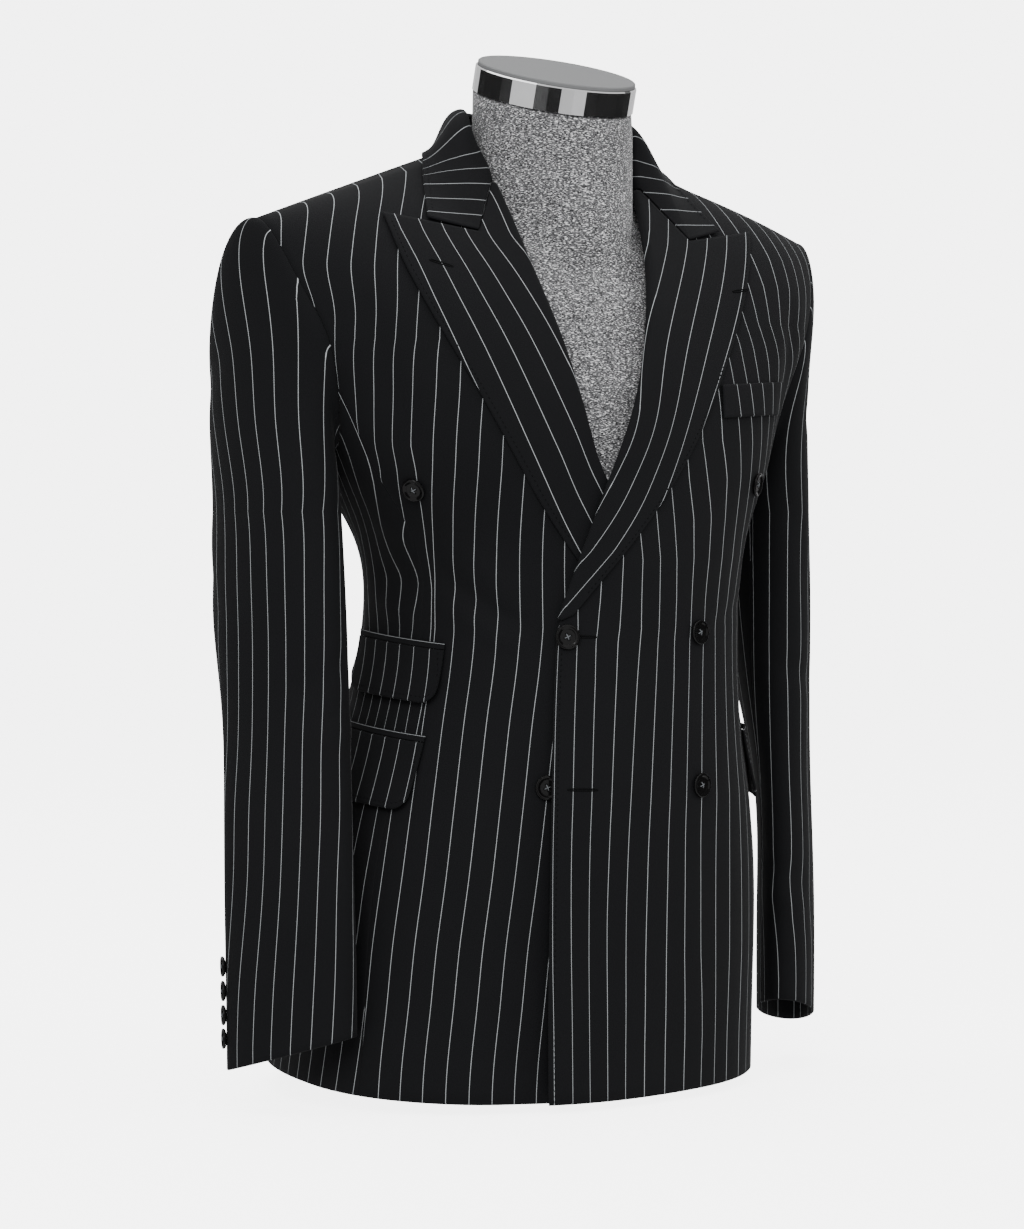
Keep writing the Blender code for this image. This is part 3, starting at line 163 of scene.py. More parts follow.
def patch(bottom: Array, top: Array, first: Array, last: Array) -> Array:
    """Fills a grid of points between four edges.

    Args:
        bottom: the first row.
        top: the last row.
        first: the first column, from bottom to top.
        last: the last column, from bottom to top.

    Returns:
        The grid, as rows of points.
    """
    v = np.linspace(0, 1, len(first))[:, None, None]
    u = np.linspace(0, 1, len(bottom))[None, :, None]
    sides = (1 - u) * first[:, None] + u * last[:, None]
    ends = (1 - v) * bottom[None] + v * top[None]
    corners = (1 - v) * ((1 - u) * bottom[0] + u * bottom[-1]) + v * ((1 - u) * top[0] + u * top[-1])
    return sides + ends - corners


def away_from(vectors: Array, way: Array) -> Array:
    """Turns round those of the vectors that point along a way."""
    return np.where(np.sum(vectors * way, axis=-1, keepdims=True) > 0, -vectors, vectors)


def bridge(start: Array, leaving: Array, end: Array, arriving: Array, t: Array) -> Array:
    """Gives points on soft bends between two lines.

    Args:
        start: where the bends start.
        leaving: how they leave it.
        end: where they end.
        arriving: how they arrive there.
        t: how far along them the points lie, from 0 to 1.

    Returns:
        The points.
    """
    return ((2 * t**3 - 3 * t**2 + 1) * start + (t**3 - 2 * t**2 + t) * leaving
            + (3 * t**2 - 2 * t**3) * end + (t**3 - t**2) * arriving)


def finer(values: Array) -> Array:
    """Gives a table's values with more steps between them, in straight lines."""
    at = np.linspace(0, len(values) - 1, (len(values) - 1) * FINE + 1)
    return np.interp(at, np.arange(len(values)), values)


def lengths(points: Array, axis: int) -> Array:
    """Gives how far along a grid each point lies, measured over the cloth.

    Args:
        points: a grid of points.
        axis: 0 to measure up the rows, 1 to measure along the columns.

    Returns:
        The distances from the first row or column.
    """
    steps = np.linalg.norm(np.diff(points, axis=axis), axis=-1)
    start = np.zeros_like(np.take(steps, [0], axis=axis))
    return np.concatenate((start, np.cumsum(steps, axis=axis)), axis=axis)


# The body's surface


class Oval(NamedTuple):
    """One level of the body: its half width, how far it sways to the left, and its depth to front and back."""

    level: float
    half_width: float
    sway: float
    front: float
    back: float


class Line(NamedTuple):
    """A point of a line drawn on the front: how high it is, and how far to the wearer's left."""

    height: float
    x: float


CHEST_LEVEL = 0.500
LEVEL_PER_RADIAN = 0.200
TOP_LEVEL = CHEST_LEVEL + LEVEL_PER_RADIAN * QUARTER
SHOULDER_TIP = (0.252, 0.693)
NECK_POINT = (0.085, 0.753)
BREAK_HEIGHT = 0.381
RIGHT_EDGE_X = 0.079

BODY_OVALS = (
    Oval(0.000, 0.195, -0.019, 0.147, 0.217),
    Oval(0.100, 0.190, -0.0135, 0.150, 0.196),
    Oval(0.200, 0.1835, -0.0085, 0.153, 0.167),
    Oval(0.300, 0.1615, -0.001, 0.154, 0.130),
    Oval(0.400, 0.151, 0.0055, 0.152, 0.102),
    Oval(0.450, 0.1595, 0.0065, 0.150, 0.110),
    Oval(0.500, 0.188, 0.002, 0.147, 0.118),
    Oval(0.547, 0.210, 0.000, 0.146, 0.124),
    Oval(0.579, 0.226, 0.000, 0.145, 0.126),
    Oval(0.614, 0.243, 0.000, 0.144, 0.127),
    Oval(0.656, 0.256, 0.000, 0.143, 0.127),
    Oval(0.712, 0.265, 0.000, 0.141, 0.125),
    Oval(TOP_LEVEL, 0.272, 0.000, 0.138, 0.124),
)
LEFT_EDGE = (Line(0.000, -0.081), Line(0.200, -0.080), Line(0.300, -0.0745), Line(0.381, -0.0680))
ROLLS = {
    Side.LEFT: (
        Line(0.381, -0.0680), Line(0.440, -0.0470), Line(0.500, -0.0225), Line(0.550, 0.002),
        Line(0.600, 0.0232), Line(0.650, 0.0425), Line(0.700, 0.060), Line(0.722, 0.068),
    ),
    Side.RIGHT: (
        Line(0.365, 0.076), Line(0.420, 0.024), Line(0.497, -0.0305), Line(0.550, -0.0485), Line(0.600, -0.0585),
        Line(0.650, -0.067), Line(0.700, -0.0685), Line(0.722, -0.068),
    ),
}
LAPEL_EDGES = {
    Side.LEFT: (
        Line(0.386, -0.0620), Line(0.4163, -0.0365), Line(0.4833, 0.0236), Line(0.5634, 0.083),
        Line(0.630, 0.130), Line(0.6725, 0.157), Line(0.6953, 0.1712),
    ),
    Side.RIGHT: (
        Line(0.372, 0.060), Line(0.400, -0.015), Line(0.4318, -0.0505), Line(0.4743, -0.079),
        Line(0.5262, -0.108), Line(0.5806, -0.135), Line(0.6352, -0.1597), Line(0.6669, -0.1678),
        Line(0.697, -0.1687),
    ),
}
NOTCH = Line(0.683, 0.097)
COLLAR_CORNER = Line(0.692, 0.135)


def drawn(line: Sequence[Line]) -> Curve:
    """Gives a drawn line as a curve of x over height."""
    return curves(line)[0]


@dataclass
class Body:
    """The surface that the jacket's panels are made from."""

    fullness: float = 0.03
    ridge_rounding: float = 0.030
    slope_band: tuple[float, float] = (0.05, 0.22)
    front_slope: float = 0.9
    hem_height: float = 0.0245
    hem_rise: float = 0.0080
    hem_right_rise: float = 0.0015
    lift_band: tuple[float, float] = (-0.020, 0.150)
    sink_band: tuple[float, float] = (-0.055, -0.014)
    overlap_end: tuple[float, float] = (0.50, 0.58)
    arc_levels: int = 160
    arc_angles: int = 721
    place_rounds: int = 12

    def __post_init__(self) -> None:
        """Makes the curves of the body's outline and its table of distances round the body."""
        self.half_width, self.sway, self.front, self.back = curves(BODY_OVALS)
        self.left_edge = drawn(LEFT_EDGE)
        self.left_roll = drawn(ROLLS[Side.LEFT])
        self.sink = Curve((0.0, 0.30, 0.36, 0.43, 0.52), (3.0 * MM, 3.0 * MM, 3.4 * MM, 4.8 * MM, 4.8 * MM))
        self.lift = Curve((0.0, 0.15, 0.26, 0.33, 0.376, 0.43, 0.52),
                          (10 * MM, 9 * MM, 7 * MM, 3.0 * MM, 1.0 * MM, 1.4 * MM, 1.4 * MM))
        angle, level = np.meshgrid(np.linspace(-HALF_TURN, HALF_TURN, self.arc_angles),
                                   np.linspace(0, TOP_LEVEL, self.arc_levels))
        along = lengths(self.point(angle, level), 1)
        self.arcs = along - along[:, [self.arc_angles // 2]]

    def ridge(self, x: Array | float) -> Array:
        """Gives the shoulder line's height at x."""
        reach, neck, tip = (np.hypot(place, self.ridge_rounding) for place in (x, NECK_POINT[0], SHOULDER_TIP[0]))
        slope = (SHOULDER_TIP[1] - NECK_POINT[1]) / (tip - neck)
        return NECK_POINT[1] + slope * (reach - neck)

    def point(self, angle: Array, level: Array) -> Array:
        """Gives points on the outer surface.

        Args:
            angle: how far round from the front centre they are, positive to the wearer's left.
            level: how high they are, where what lies above the chest is the shoulder's arch.

        Returns:
            The points.
        """
        full = 1 + self.fullness * np.sin(2 * angle) ** 2
        x = self.half_width(level) * full * np.sin(angle) + self.sway(level)
        fore = np.cos(angle) > 0
        depth = np.where(fore, self.front(level), self.back(level)) * full * np.cos(angle)
        arch = np.clip((level - CHEST_LEVEL) / LEVEL_PER_RADIAN, 0, QUARTER)
        steeper = np.where(fore, self.front_slope, 0.0) * (1 - smooth(np.abs(x), *self.slope_band))
        y = -depth * np.cos(arch) ** (1 + steeper)
        z = np.where(level < CHEST_LEVEL, level, CHEST_LEVEL + (self.ridge(x) - CHEST_LEVEL) * np.sin(arch))
        return stack(x, y, z)

    def normal(self, angle: Array, level: Array) -> Array:
        """Gives the direction out of the surface.

        Args:
            angle: how far round from the front centre it is.
            level: its level.

        Returns:
            The directions, of length 1.
        """
        step = 1e-4
        up = np.minimum(level + step, TOP_LEVEL)
        across = self.point(angle + step, level) - self.point(angle - step, level)
        along = self.point(angle, up) - self.point(angle, up - 2 * step)
        return unit(np.cross(across, along))

    def at(self, places: Array) -> tuple[Array, Array]:
        """Gives the surface's points at places, which are angles and levels, and the directions out of it."""
        return self.point(places[..., 0], places[..., 1]), self.normal(places[..., 0], places[..., 1])

    def seen(self, drawing: Array) -> Array:
        """Gives the places where a drawing of x and height lies on the front."""
        return self.place(drawing[..., 0], drawing[..., 1])

    def place(self, x: Array, z: Array, back: bool = False) -> Array:
        """Gives the places where the surface is seen from straight in front or behind.

        Args:
            x: how far to the wearer's left they are seen.
            z: how high they are seen.
            back: whether they are seen from behind.

        Returns:
            The places, as angles and levels.
        """
        x, z = np.broadcast_arrays(np.asarray(x, float), np.asarray(z, float))
        arch = np.arcsin(np.clip((z - CHEST_LEVEL) / (self.ridge(x) - CHEST_LEVEL), 0, 1))
        level = np.where(z < CHEST_LEVEL, z, CHEST_LEVEL + LEVEL_PER_RADIAN * arch)
        angle = np.zeros_like(x)
        for _ in range(self.place_rounds):
            full = 1 + self.fullness * np.sin(2 * angle) ** 2
            angle = np.arcsin(np.clip((x - self.sway(level)) / (self.half_width(level) * full), -1, 1))
        if back:
            angle = np.sign(np.where(x == 0, 1, x)) * HALF_TURN - angle
        return stack(angle, level)

    def arc(self, angle: Array, level: Array) -> Array:
        """Measures round the body at one level.

        Args:
            angle: how far round from the front centre to measure.
            level: the level.

        Returns:
            The distances over the cloth, positive to the wearer's left.
        """
        row = np.clip(level / TOP_LEVEL * (self.arc_levels - 1), 0, self.arc_levels - 1.001)
        column = np.clip((angle / HALF_TURN + 1) / 2 * (self.arc_angles - 1), 0, self.arc_angles - 1.001)
        r, c = row.astype(int), column.astype(int)
        v, u = row - r, column - c
        low = self.arcs[r, c] * (1 - u) + self.arcs[r, c + 1] * u
        high = self.arcs[r + 1, c] * (1 - u) + self.arcs[r + 1, c + 1] * u
        return low * (1 - v) + high * v

    def hem(self, angle: Array | float) -> Array:
        """Gives the hem's height round the body."""
        return self.hem_height + (self.hem_rise - self.hem_right_rise * np.sin(angle)) * (1 - np.cos(angle))

    def left_edge_x(self, height: Array) -> Array:
        """Gives the x of the left front's free edge, which is its roll line above the break."""
        return np.where(height < BREAK_HEIGHT, self.left_edge(height), self.left_roll(height))

    def offset(self, side: Side, points: Array) -> Array:
        """Gives how far out a front lies: the left one laps over the right one, which is pressed in.

        Args:
            side: whose front it is.
            points: where on the surface it is asked.

        Returns:
            The distances out of the surface.
        """
        x, z = points[..., 0], points[..., 2]
        past = x - self.left_edge_x(z)
        near_overlap = 1 - smooth(z, *self.overlap_end)
        if side is Side.LEFT:
            return self.lift(z) * (1 - smooth(past, *self.lift_band)) * near_overlap
        return -self.sink(z) * smooth(past, *self.sink_band) * near_overlap

    def on_front(self, side: Side, places: Array, out: Array | float = 0.0) -> tuple[Array, Array]:
        """Gives points and normals at places on a front.

        Args:
            side: whose front it is.
            places: angles and levels.
            out: how far off the front's cloth the points lie.

        Returns:
            The points and the directions out of the cloth.
        """
        points, normals = self.at(places)
        away = self.offset(side, points) + out + FOLDS.height(self.chart(places, points))
        return points + normals * away[..., None], normals

    def chart(self, places: Array, points: Array) -> Array:
        """Gives where points lie on the body laid flat: how far round from the front centre, and how high."""
        return stack(self.arc(places[..., 0], places[..., 1]), points[..., 2])


# Folds


class Fold(NamedTuple):
    """A soft ridge, or with a negative depth a trough, between two points of a piece laid flat."""

    start: tuple[float, float]
    end: tuple[float, float]
    width: float
    depth: float


@dataclass(frozen=True)
class FoldField:
    """All the folds of one surface."""

    folds: tuple[Fold, ...]
    wander: float = 0.12
    rise: tuple[float, float] = (-0.12, 0.3)
    fall: tuple[float, float] = (0.6, 1.12)

    def height(self, chart: Array) -> Array:
        """Gives how far out the folds move each point.

        Args:
            chart: where the points lie on the surface laid flat.

        Returns:
            The distance to move each one.
        """
        total = np.zeros(chart.shape[:-1])
        for index, fold in enumerate(self.folds):
            start, end = np.array(fold.start), np.array(fold.end)
            run = end - start
            length = float(np.hypot(*run))
            along = ((chart - start) @ run) / length**2
            across = ((chart - start) @ np.array((-run[1], run[0]))) / length
            bend = self.wander * fold.width * np.sin(3.1 * along + 1.7 * index) * 2
            width = fold.width * (0.75 + 0.5 * np.clip(along, 0, 1))
            body = np.exp(-(((across - bend) / width) ** 2))
            taper = smooth(along, *self.rise) * (1 - smooth(along, *self.fall))
            total += fold.depth * body * taper
        return total


FOLDS = FoldField((
    # the pull from the fastened button toward the ticket pocket
    Fold((-0.096, 0.381), (-0.174, 0.425), 0.007, -3.0 * MM),
    Fold((-0.098, 0.366), (-0.172, 0.402), 0.009, 1.8 * MM),
    Fold((-0.105, 0.402), (-0.165, 0.446), 0.010, 1.5 * MM),
    # drag lines at the waist, in front of the side seam
    Fold((-0.186, 0.412), (-0.245, 0.430), 0.009, -2.4 * MM),
    Fold((-0.186, 0.392), (-0.245, 0.404), 0.010, 2.0 * MM),
    Fold((-0.180, 0.440), (-0.235, 0.462), 0.011, 1.6 * MM),
    # the left front: soft upright waves down from the waist
    Fold((0.165, 0.430), (0.150, 0.250), 0.013, -2.6 * MM),
    Fold((0.190, 0.400), (0.180, 0.240), 0.012, 2.2 * MM),
    Fold((0.060, 0.375), (0.150, 0.405), 0.009, -1.3 * MM),
    Fold((-0.020, 0.200), (-0.030, 0.040), 0.018, -1.5 * MM),
    Fold((0.060, 0.230), (0.070, 0.035), 0.020, 1.5 * MM),
    # the right front below its pocket
    Fold((-0.160, 0.240), (-0.180, 0.035), 0.018, -1.6 * MM),
    Fold((-0.120, 0.230), (-0.125, 0.035), 0.018, 1.2 * MM),
    # down from the armholes
    Fold((-0.205, 0.640), (-0.185, 0.520), 0.014, -2.4 * MM),
    Fold((0.205, 0.640), (0.185, 0.520), 0.014, -2.4 * MM),
    # the back: the waist's drag lines and the skirt
    Fold((0.300, 0.560), (0.330, 0.420), 0.016, -1.8 * MM),
    Fold((-0.300, 0.560), (-0.330, 0.420), 0.016, -1.8 * MM),
    Fold((0.420, 0.250), (0.470, 0.050), 0.022, 1.8 * MM),
    Fold((-0.420, 0.250), (-0.470, 0.050), 0.022, 1.8 * MM),
))


# Shaders


class Value:
    """A socket of numbers that grows Math nodes where it is used in an expression."""

    def __init__(self, shader: "Shader", socket: Any) -> None:
        """Keeps the socket and the shader that owns it."""
        self.shader, self.socket = shader, socket

    def math(self, operation: str, *others: "Value | float") -> "Value":
        """Gives the result of a Math node on this value and others."""
        return self.shader.math(operation, self, *others)

    def __add__(self, other: "Value | float") -> "Value":
        """Adds."""
        return self.math("ADD", other)

    def __sub__(self, other: "Value | float") -> "Value":
        """Takes away."""
        return self.math("SUBTRACT", other)

    def __rsub__(self, other: float) -> "Value":
        """Takes this away from a number."""
        return self.shader.math("SUBTRACT", other, self)

    def __mul__(self, other: "Value | float") -> "Value":
        """Multiplies."""
        return self.math("MULTIPLY", other)

    def __truediv__(self, other: "Value | float") -> "Value":
        """Divides."""
        return self.math("DIVIDE", other)

    __radd__ = __add__
    __rmul__ = __mul__


class Shader:
    """A material's nodes, made through one method."""

    def __init__(self, name: str) -> None:
        """Makes a material with a Principled shader.

        Args:
            name: the material's name.
        """
        self.material = bpy.data.materials.new(name)
        self.material.use_nodes = True
        self.tree = self.material.node_tree
        self.surface = self.tree.nodes["Principled BSDF"]

    def node(self, kind: str, settings: dict[str, Any] | None = None, **sockets: Any) -> Any:
        """Makes a node.

        Args:
            kind: the node's type, without its ShaderNode prefix.
            settings: its own settings, and for a ramp its stops.
            sockets: what goes into its sockets, by their names with _ for a space, or by number as _0, _1.

        Returns:
            The node.
        """
        made = self.tree.nodes.new(f"ShaderNode{kind}")
        for name, value in (settings or {}).items():
            if name == "stops":
                self.set_stops(made.color_ramp.elements, value)
            else:
                setattr(made, name, value)
        for name, value in sockets.items():
            place = int(name[1:]) if name.startswith("_") else name.replace("_", " ")
            self.feed(made.inputs[place], value)
        return made

    @staticmethod
    def set_stops(elements: Any, stops: Sequence[tuple[float, tuple[float, ...]]]) -> None:
        """Sets a ramp's stops.

        Args:
            elements: the ramp's stops as they are.
            stops: the position and the colour of each wanted one.
        """
        while len(elements) < len(stops):
            elements.new(0.5)
        for element, (position, colour) in zip(elements, stops):
            element.position, element.color = position, (*colour, 1)

    def feed(self, socket: Any, value: Any) -> None:
        """Puts something into a socket.

        Args:
            socket: the socket.
            value: a value, a node's output, a colour or a number.
        """
        if isinstance(value, Value):
            self.tree.links.new(value.socket, socket)
        elif hasattr(value, "links"):
            self.tree.links.new(value, socket)
        elif isinstance(value, tuple) and len(value) == 3 and socket.type == "RGBA":
            socket.default_value = (*value, 1)
        else:
            socket.default_value = value

    def math(self, operation: str, *values: Value | float) -> Value:
        """Makes a Math node."""
        made = self.node("Math", {"operation": operation}, **{f"_{i}": value for i, value in enumerate(values)})
        return Value(self, made.outputs[0])

    def map(self, name: str) -> tuple[Value, Value]:
        """Gives the two numbers of a mesh's map, in metres."""
        made = self.node("UVMap", {"uv_map": name})
        parts = self.node("SeparateXYZ", _0=made.outputs[0])
        return Value(self, parts.outputs[0]), Value(self, parts.outputs[1])

    def place(self) -> Any:
        """Gives each point's place on the object, in metres."""
        return self.node("TexCoord").outputs["Object"]

    def noise(self, scale: float, detail: float = 2.0, stretch: tuple[float, float, float] = (1, 1, 1),
              roughness: float = 0.5) -> Value:
        """Makes soft noise, from 0 to 1.

        Args:
            scale: how many spots there are in a metre.
            detail: how many finer layers it has.
            stretch: how much closer the spots are along each axis.
            roughness: how strong the finer layers are.

        Returns:
            The noise.
        """
        place = self.node("Mapping", _0=self.place(), Scale=stretch).outputs[0]
        made = self.node("TexNoise", Vector=place, Scale=scale, Detail=detail, Roughness=roughness)
        return Value(self, made.outputs["Fac"])

    def step(self, value: Value, low: float, high: float) -> Value:
        """Makes a soft step from 0 to 1 as a value goes from low to high."""
        span = {"From_Min": low, "From_Max": high, "To_Min": 0.0, "To_Max": 1.0}
        made = self.node("MapRange", {"interpolation_type": "SMOOTHSTEP"}, Value=value, **span)
        return Value(self, made.outputs[0])

    def mix(self, share: Value | float, first: Any, second: Any) -> Any:
        """Mixes two colours.

        Args:
            share: how much of the second one shows.
            first: the first colour, or the output that gives it.
            second: the second one.

        Returns:
            The socket of the mixed colour.
        """
        made = self.node("Mix", {"data_type": "RGBA"}, Factor=share)
        self.feed(made.inputs[6], first)
        self.feed(made.inputs[7], second)
        return made.outputs[2]

    def bump(self, height: Value, distance: float, strength: float = 1.0) -> Any:
        """Gives normals from a height.

        Args:
            height: the surface's height, from 0 to 1.
            distance: how high 1 is, in metres.
            strength: how much of it shows.

        Returns:
            The socket of normals.
        """
        return self.node("Bump", Strength=strength, Distance=distance, Height=height).outputs[0]

    def finish(self, **sockets: Any) -> Any:
        """Sets the Principled shader's sockets and gives the material."""
        for name, value in sockets.items():
            self.feed(self.surface.inputs[name.replace("_", " ")], value)
        return self.material


@dataclass(frozen=True)
class Worsted:
    """Smooth wool cloth with thin pale stripes woven in."""

    name: str = "worsted"
    dark: tuple[float, float, float] = (0.0042, 0.0043, 0.0049)
    light: tuple[float, float, float] = (0.0086, 0.0088, 0.0098)
    stripe: tuple[float, float, float] = (0.52, 0.545, 0.56)
    stripe_width: float = 0.28 * MM
    stripe_blur: float = 0.20 * MM
    dot_pitch: float = 1.3 * MM
    twill_pitch: float = 0.8 * MM
    roughness: float = 0.82

    def material(self) -> Any:
        """Makes the cloth's material.

        Returns:
            The material.
        """
        shader = Shader(self.name)
        across, along = shader.map("cloth")
        turn = across / STRIPE_PITCH + 0.5
        away = (turn.math("FRACT") - 0.5).math("ABSOLUTE") * STRIPE_PITCH
        half = self.stripe_width / 2
        thread = 1 - shader.step(away, half - self.stripe_blur / 2, half + self.stripe_blur)
        dots = (along * (2 * HALF_TURN / self.dot_pitch)).math("SINE") * 0.5 + 0.5
        patchy = shader.noise(240, detail=3)
        pale = thread * (dots * 0.22 + patchy * 0.35 + 0.52)
        twill = ((across + along) * (2 * HALF_TURN / self.twill_pitch)).math("SINE") * 0.5 + 0.5
        slub = shader.noise(900, detail=2)
        broad = shader.noise(26, detail=2)
        tone = twill * 0.35 + slub * 0.45 + broad * 0.2
        ground = shader.mix(tone, self.dark, self.light)
        colour = shader.mix(pale, ground, self.stripe)
        height = twill * 0.5 + slub * 0.5 + thread * 0.8
        return shader.finish(
            Base_Color=colour, Roughness=self.roughness, Normal=shader.bump(height, 0.12 * MM, 0.6),
            Specular_IOR_Level=0.07, Sheen_Weight=0.025, Sheen_Roughness=0.45,
        )


@dataclass(frozen=True)
class Horn:
    """Polished black button."""

    name: str = "black_horn"
    dark: tuple[float, float, float] = (0.0020, 0.0020, 0.0022)
    light: tuple[float, float, float] = (0.0065, 0.0062, 0.0062)
    roughness: float = 0.07

    def material(self) -> Any:
        """Makes the buttons' material.

        Returns:
            The material.
        """
        shader = Shader(self.name)
        cloud = shader.noise(420, detail=3, stretch=(1, 1, 3))
        wear = shader.noise(1800, detail=2)
        colour = shader.mix(cloud, self.dark, self.light)
        return shader.finish(
            Base_Color=colour, Roughness=wear * 0.06 + self.roughness, Specular_IOR_Level=0.16, Coat_Weight=0.08,
            Coat_Roughness=0.03, Normal=shader.bump(cloud, 0.05 * MM, 0.3),
        )


@dataclass(frozen=True)
class Thread:
    """Sewing thread in one colour."""

    name: str
    colour: tuple[float, float, float]

    def material(self) -> Any:
        """Makes the thread's material.

        Returns:
            The material.
        """
        shader = Shader(self.name)
        ply = shader.noise(2600, detail=2)
        dark = tuple(0.55 * part for part in self.colour)
        return shader.finish(Base_Color=shader.mix(ply, dark, self.colour), Roughness=0.8, Specular_IOR_Level=0.1,
                             Normal=shader.bump(ply, 0.1 * MM, 0.5))


@dataclass(frozen=True)
class Heather:
    """The form's knitted cover, with black, grey and white yarns mixed."""

    name: str = "heather_knit"
    black: tuple[float, float, float] = (0.014, 0.014, 0.015)
    grey: tuple[float, float, float] = (0.13, 0.13, 0.135)
    white: tuple[float, float, float] = (0.85, 0.85, 0.86)

    def material(self) -> Any:
        """Makes the cover's material.

        Returns:
            The material.
        """
        shader = Shader(self.name)
        yarn = shader.noise(900, detail=3, stretch=(0.6, 0.6, 1.8), roughness=0.6)
        fleck = shader.noise(1150, detail=1, stretch=(0.42, 0.42, 1.5), roughness=0.5)
        rib = shader.noise(1900, detail=1)
        dark = shader.mix(shader.step(yarn, 0.42, 0.58), self.black, self.grey)
        pale = shader.mix(shader.step(fleck, 0.53, 0.72), dark, self.white)
        return shader.finish(Base_Color=pale, Roughness=0.92, Specular_IOR_Level=0.2, Sheen_Weight=0.15,
                             Normal=shader.bump(rib * 0.6 + fleck * 0.4, 0.35 * MM, 0.8))


@dataclass(frozen=True)
class Chrome:
    """Polished metal."""

    name: str = "polished_chrome"
    dull: tuple[float, float, float] = (0.62, 0.62, 0.63)
    bright: tuple[float, float, float] = (0.78, 0.78, 0.79)
    roughness: float = 0.13

    def material(self) -> Any:
        """Makes the band's material.

        Returns:
            The material.
        """
        shader = Shader(self.name)
        smear = shader.noise(60, detail=3)
        return shader.finish(Base_Color=shader.mix(smear, self.dull, self.bright), Metallic=1.0,
                             Roughness=smear * 0.06 + self.roughness)


@dataclass(frozen=True)
class Paint:
    """Matt paint on metal or board."""

    name: str
    colour: tuple[float, float, float]
    roughness: float

    def material(self) -> Any:
        """Makes the paint's material.

        Returns:
            The material.
        """
        shader = Shader(self.name)
        grain = shader.noise(1400, detail=2)
        dust = shader.noise(35, detail=3)
        pale = tuple(1.25 * part for part in self.colour)
        colour = shader.mix(grain * 0.4 + dust * 0.6, self.colour, pale)
        return shader.finish(Base_Color=colour, Roughness=dust * 0.12 + self.roughness,
                             Normal=shader.bump(grain, 0.06 * MM, 0.5))


@dataclass(frozen=True)
class Finishes:
    """Every finish, made once."""

    cloth: Any
    horn: Any
    grey_thread: Any
    black_thread: Any
    heather: Any
    chrome: Any
    grey_top: Any
    foot: Any

    @classmethod
    def make(cls) -> "Finishes":
        """Makes all the materials.

        Returns:
            The finishes.
        """
        return cls(
            cloth=Worsted().material(),
            horn=Horn().material(),
            grey_thread=Thread("grey_thread", (0.16, 0.17, 0.18)).material(),
            black_thread=Thread("black_thread", (0.0030, 0.0030, 0.0034)).material(),
            heather=Heather().material(),
            chrome=Chrome().material(),
            grey_top=Paint("grey_top_paint", (0.118, 0.120, 0.122), 0.62).material(),
            foot=Paint("foot_paint", (0.020, 0.020, 0.021), 0.45).material(),
        )


# Making meshes


def make_object(name: str, points: Array, faces: Faces, material: Any, cloth: Array | None = None) -> Any:
    """Makes an object of one mesh, with smooth shading.

    Args:
        name: the object's name.
        points: its points, before the whole object's shift to the origin.
        faces: its faces, as point numbers.
        material: its material.
        cloth: where each point lies on the bolt of cloth, in metres, or None.

    Returns:
        The object.
    """
    mesh = bpy.data.meshes.new(name)
    mesh.from_pydata((points + ORIGIN_SHIFT).tolist(), [], faces)
    mesh.materials.append(material)
    if cloth is not None:
        corner = np.zeros(len(mesh.loops), int)
        mesh.loops.foreach_get("vertex_index", corner)
        layer = mesh.uv_layers.new(name="cloth")
        layer.data.foreach_set("uv", cloth[corner].astype(np.float32).ravel())
    mesh.shade_smooth()
    made = bpy.data.objects.new(name, mesh)
    bpy.context.scene.collection.objects.link(made)
    return made


def ring_of(grid: Array) -> Array:
    """Gives a grid's outer ring of point numbers, once round."""
    return np.concatenate((grid[0, :], grid[1:, -1], grid[-1, -2::-1], grid[-2:0:-1, 0]))


def quads_of(index: Array) -> Array:
    """Gives a grid's quads from its point numbers."""
    return stack(index[:-1, :-1], index[:-1, 1:], index[1:, 1:], index[1:, :-1]).reshape(-1, 4)


def numbered(grid: Array) -> Array:
    """Gives the number of each point of a grid."""
    return np.arange(grid.shape[0] * grid.shape[1]).reshape(grid.shape[:2])


def joined(parts: Sequence[tuple[Array, Faces]]) -> tuple[Array, Faces]:
    """Joins parts into one.

    Args:
        parts: the points and faces of each.

    Returns:
        All the points and all the faces.
    """
    faces, count = [], 0
    for points, part_faces in parts:
        faces += [[corner + count for corner in face] for face in part_faces]
        count += len(points)
    return np.concatenate([points for points, _ in parts]), faces


def tube(line: Array, radius: float, sides: int, closed: bool = False) -> tuple[Array, Faces]:
    """Makes a tube round a line.

    Args:
        line: the points that it follows.
        radius: its radius.
        sides: how many sides it has.
        closed: whether its end joins its start.

    Returns:
        Its points and faces.
    """
    if closed:
        along = unit(np.roll(line, -1, axis=0) - np.roll(line, 1, axis=0))
    else:
        along = unit(np.gradient(line, axis=0))
    helper = np.array((0.0, 0.0, 1.0)) if abs(along[0, 2]) < 0.9 else np.array((1.0, 0.0, 0.0))
    up = unit(np.cross(along[0], helper))
    rings = []
    for point, way in zip(line, along):
        up = unit(up - way * np.dot(up, way))
        aside = np.cross(way, up)
        turn = np.arange(sides)[:, None] * 2 * HALF_TURN / sides
        rings.append(point + radius * (np.cos(turn) * up + np.sin(turn) * aside))
    index = numbered(np.array(rings))
    ends = [] if closed else [index[0].tolist(), index[-1, ::-1].tolist()]
    index = np.concatenate((index, index[:, :1]), axis=1)
    if closed:
        index = np.concatenate((index, index[:1]))
    return np.concatenate(rings), quads_of(index)[:, (0, 3, 2, 1)].tolist() + ends


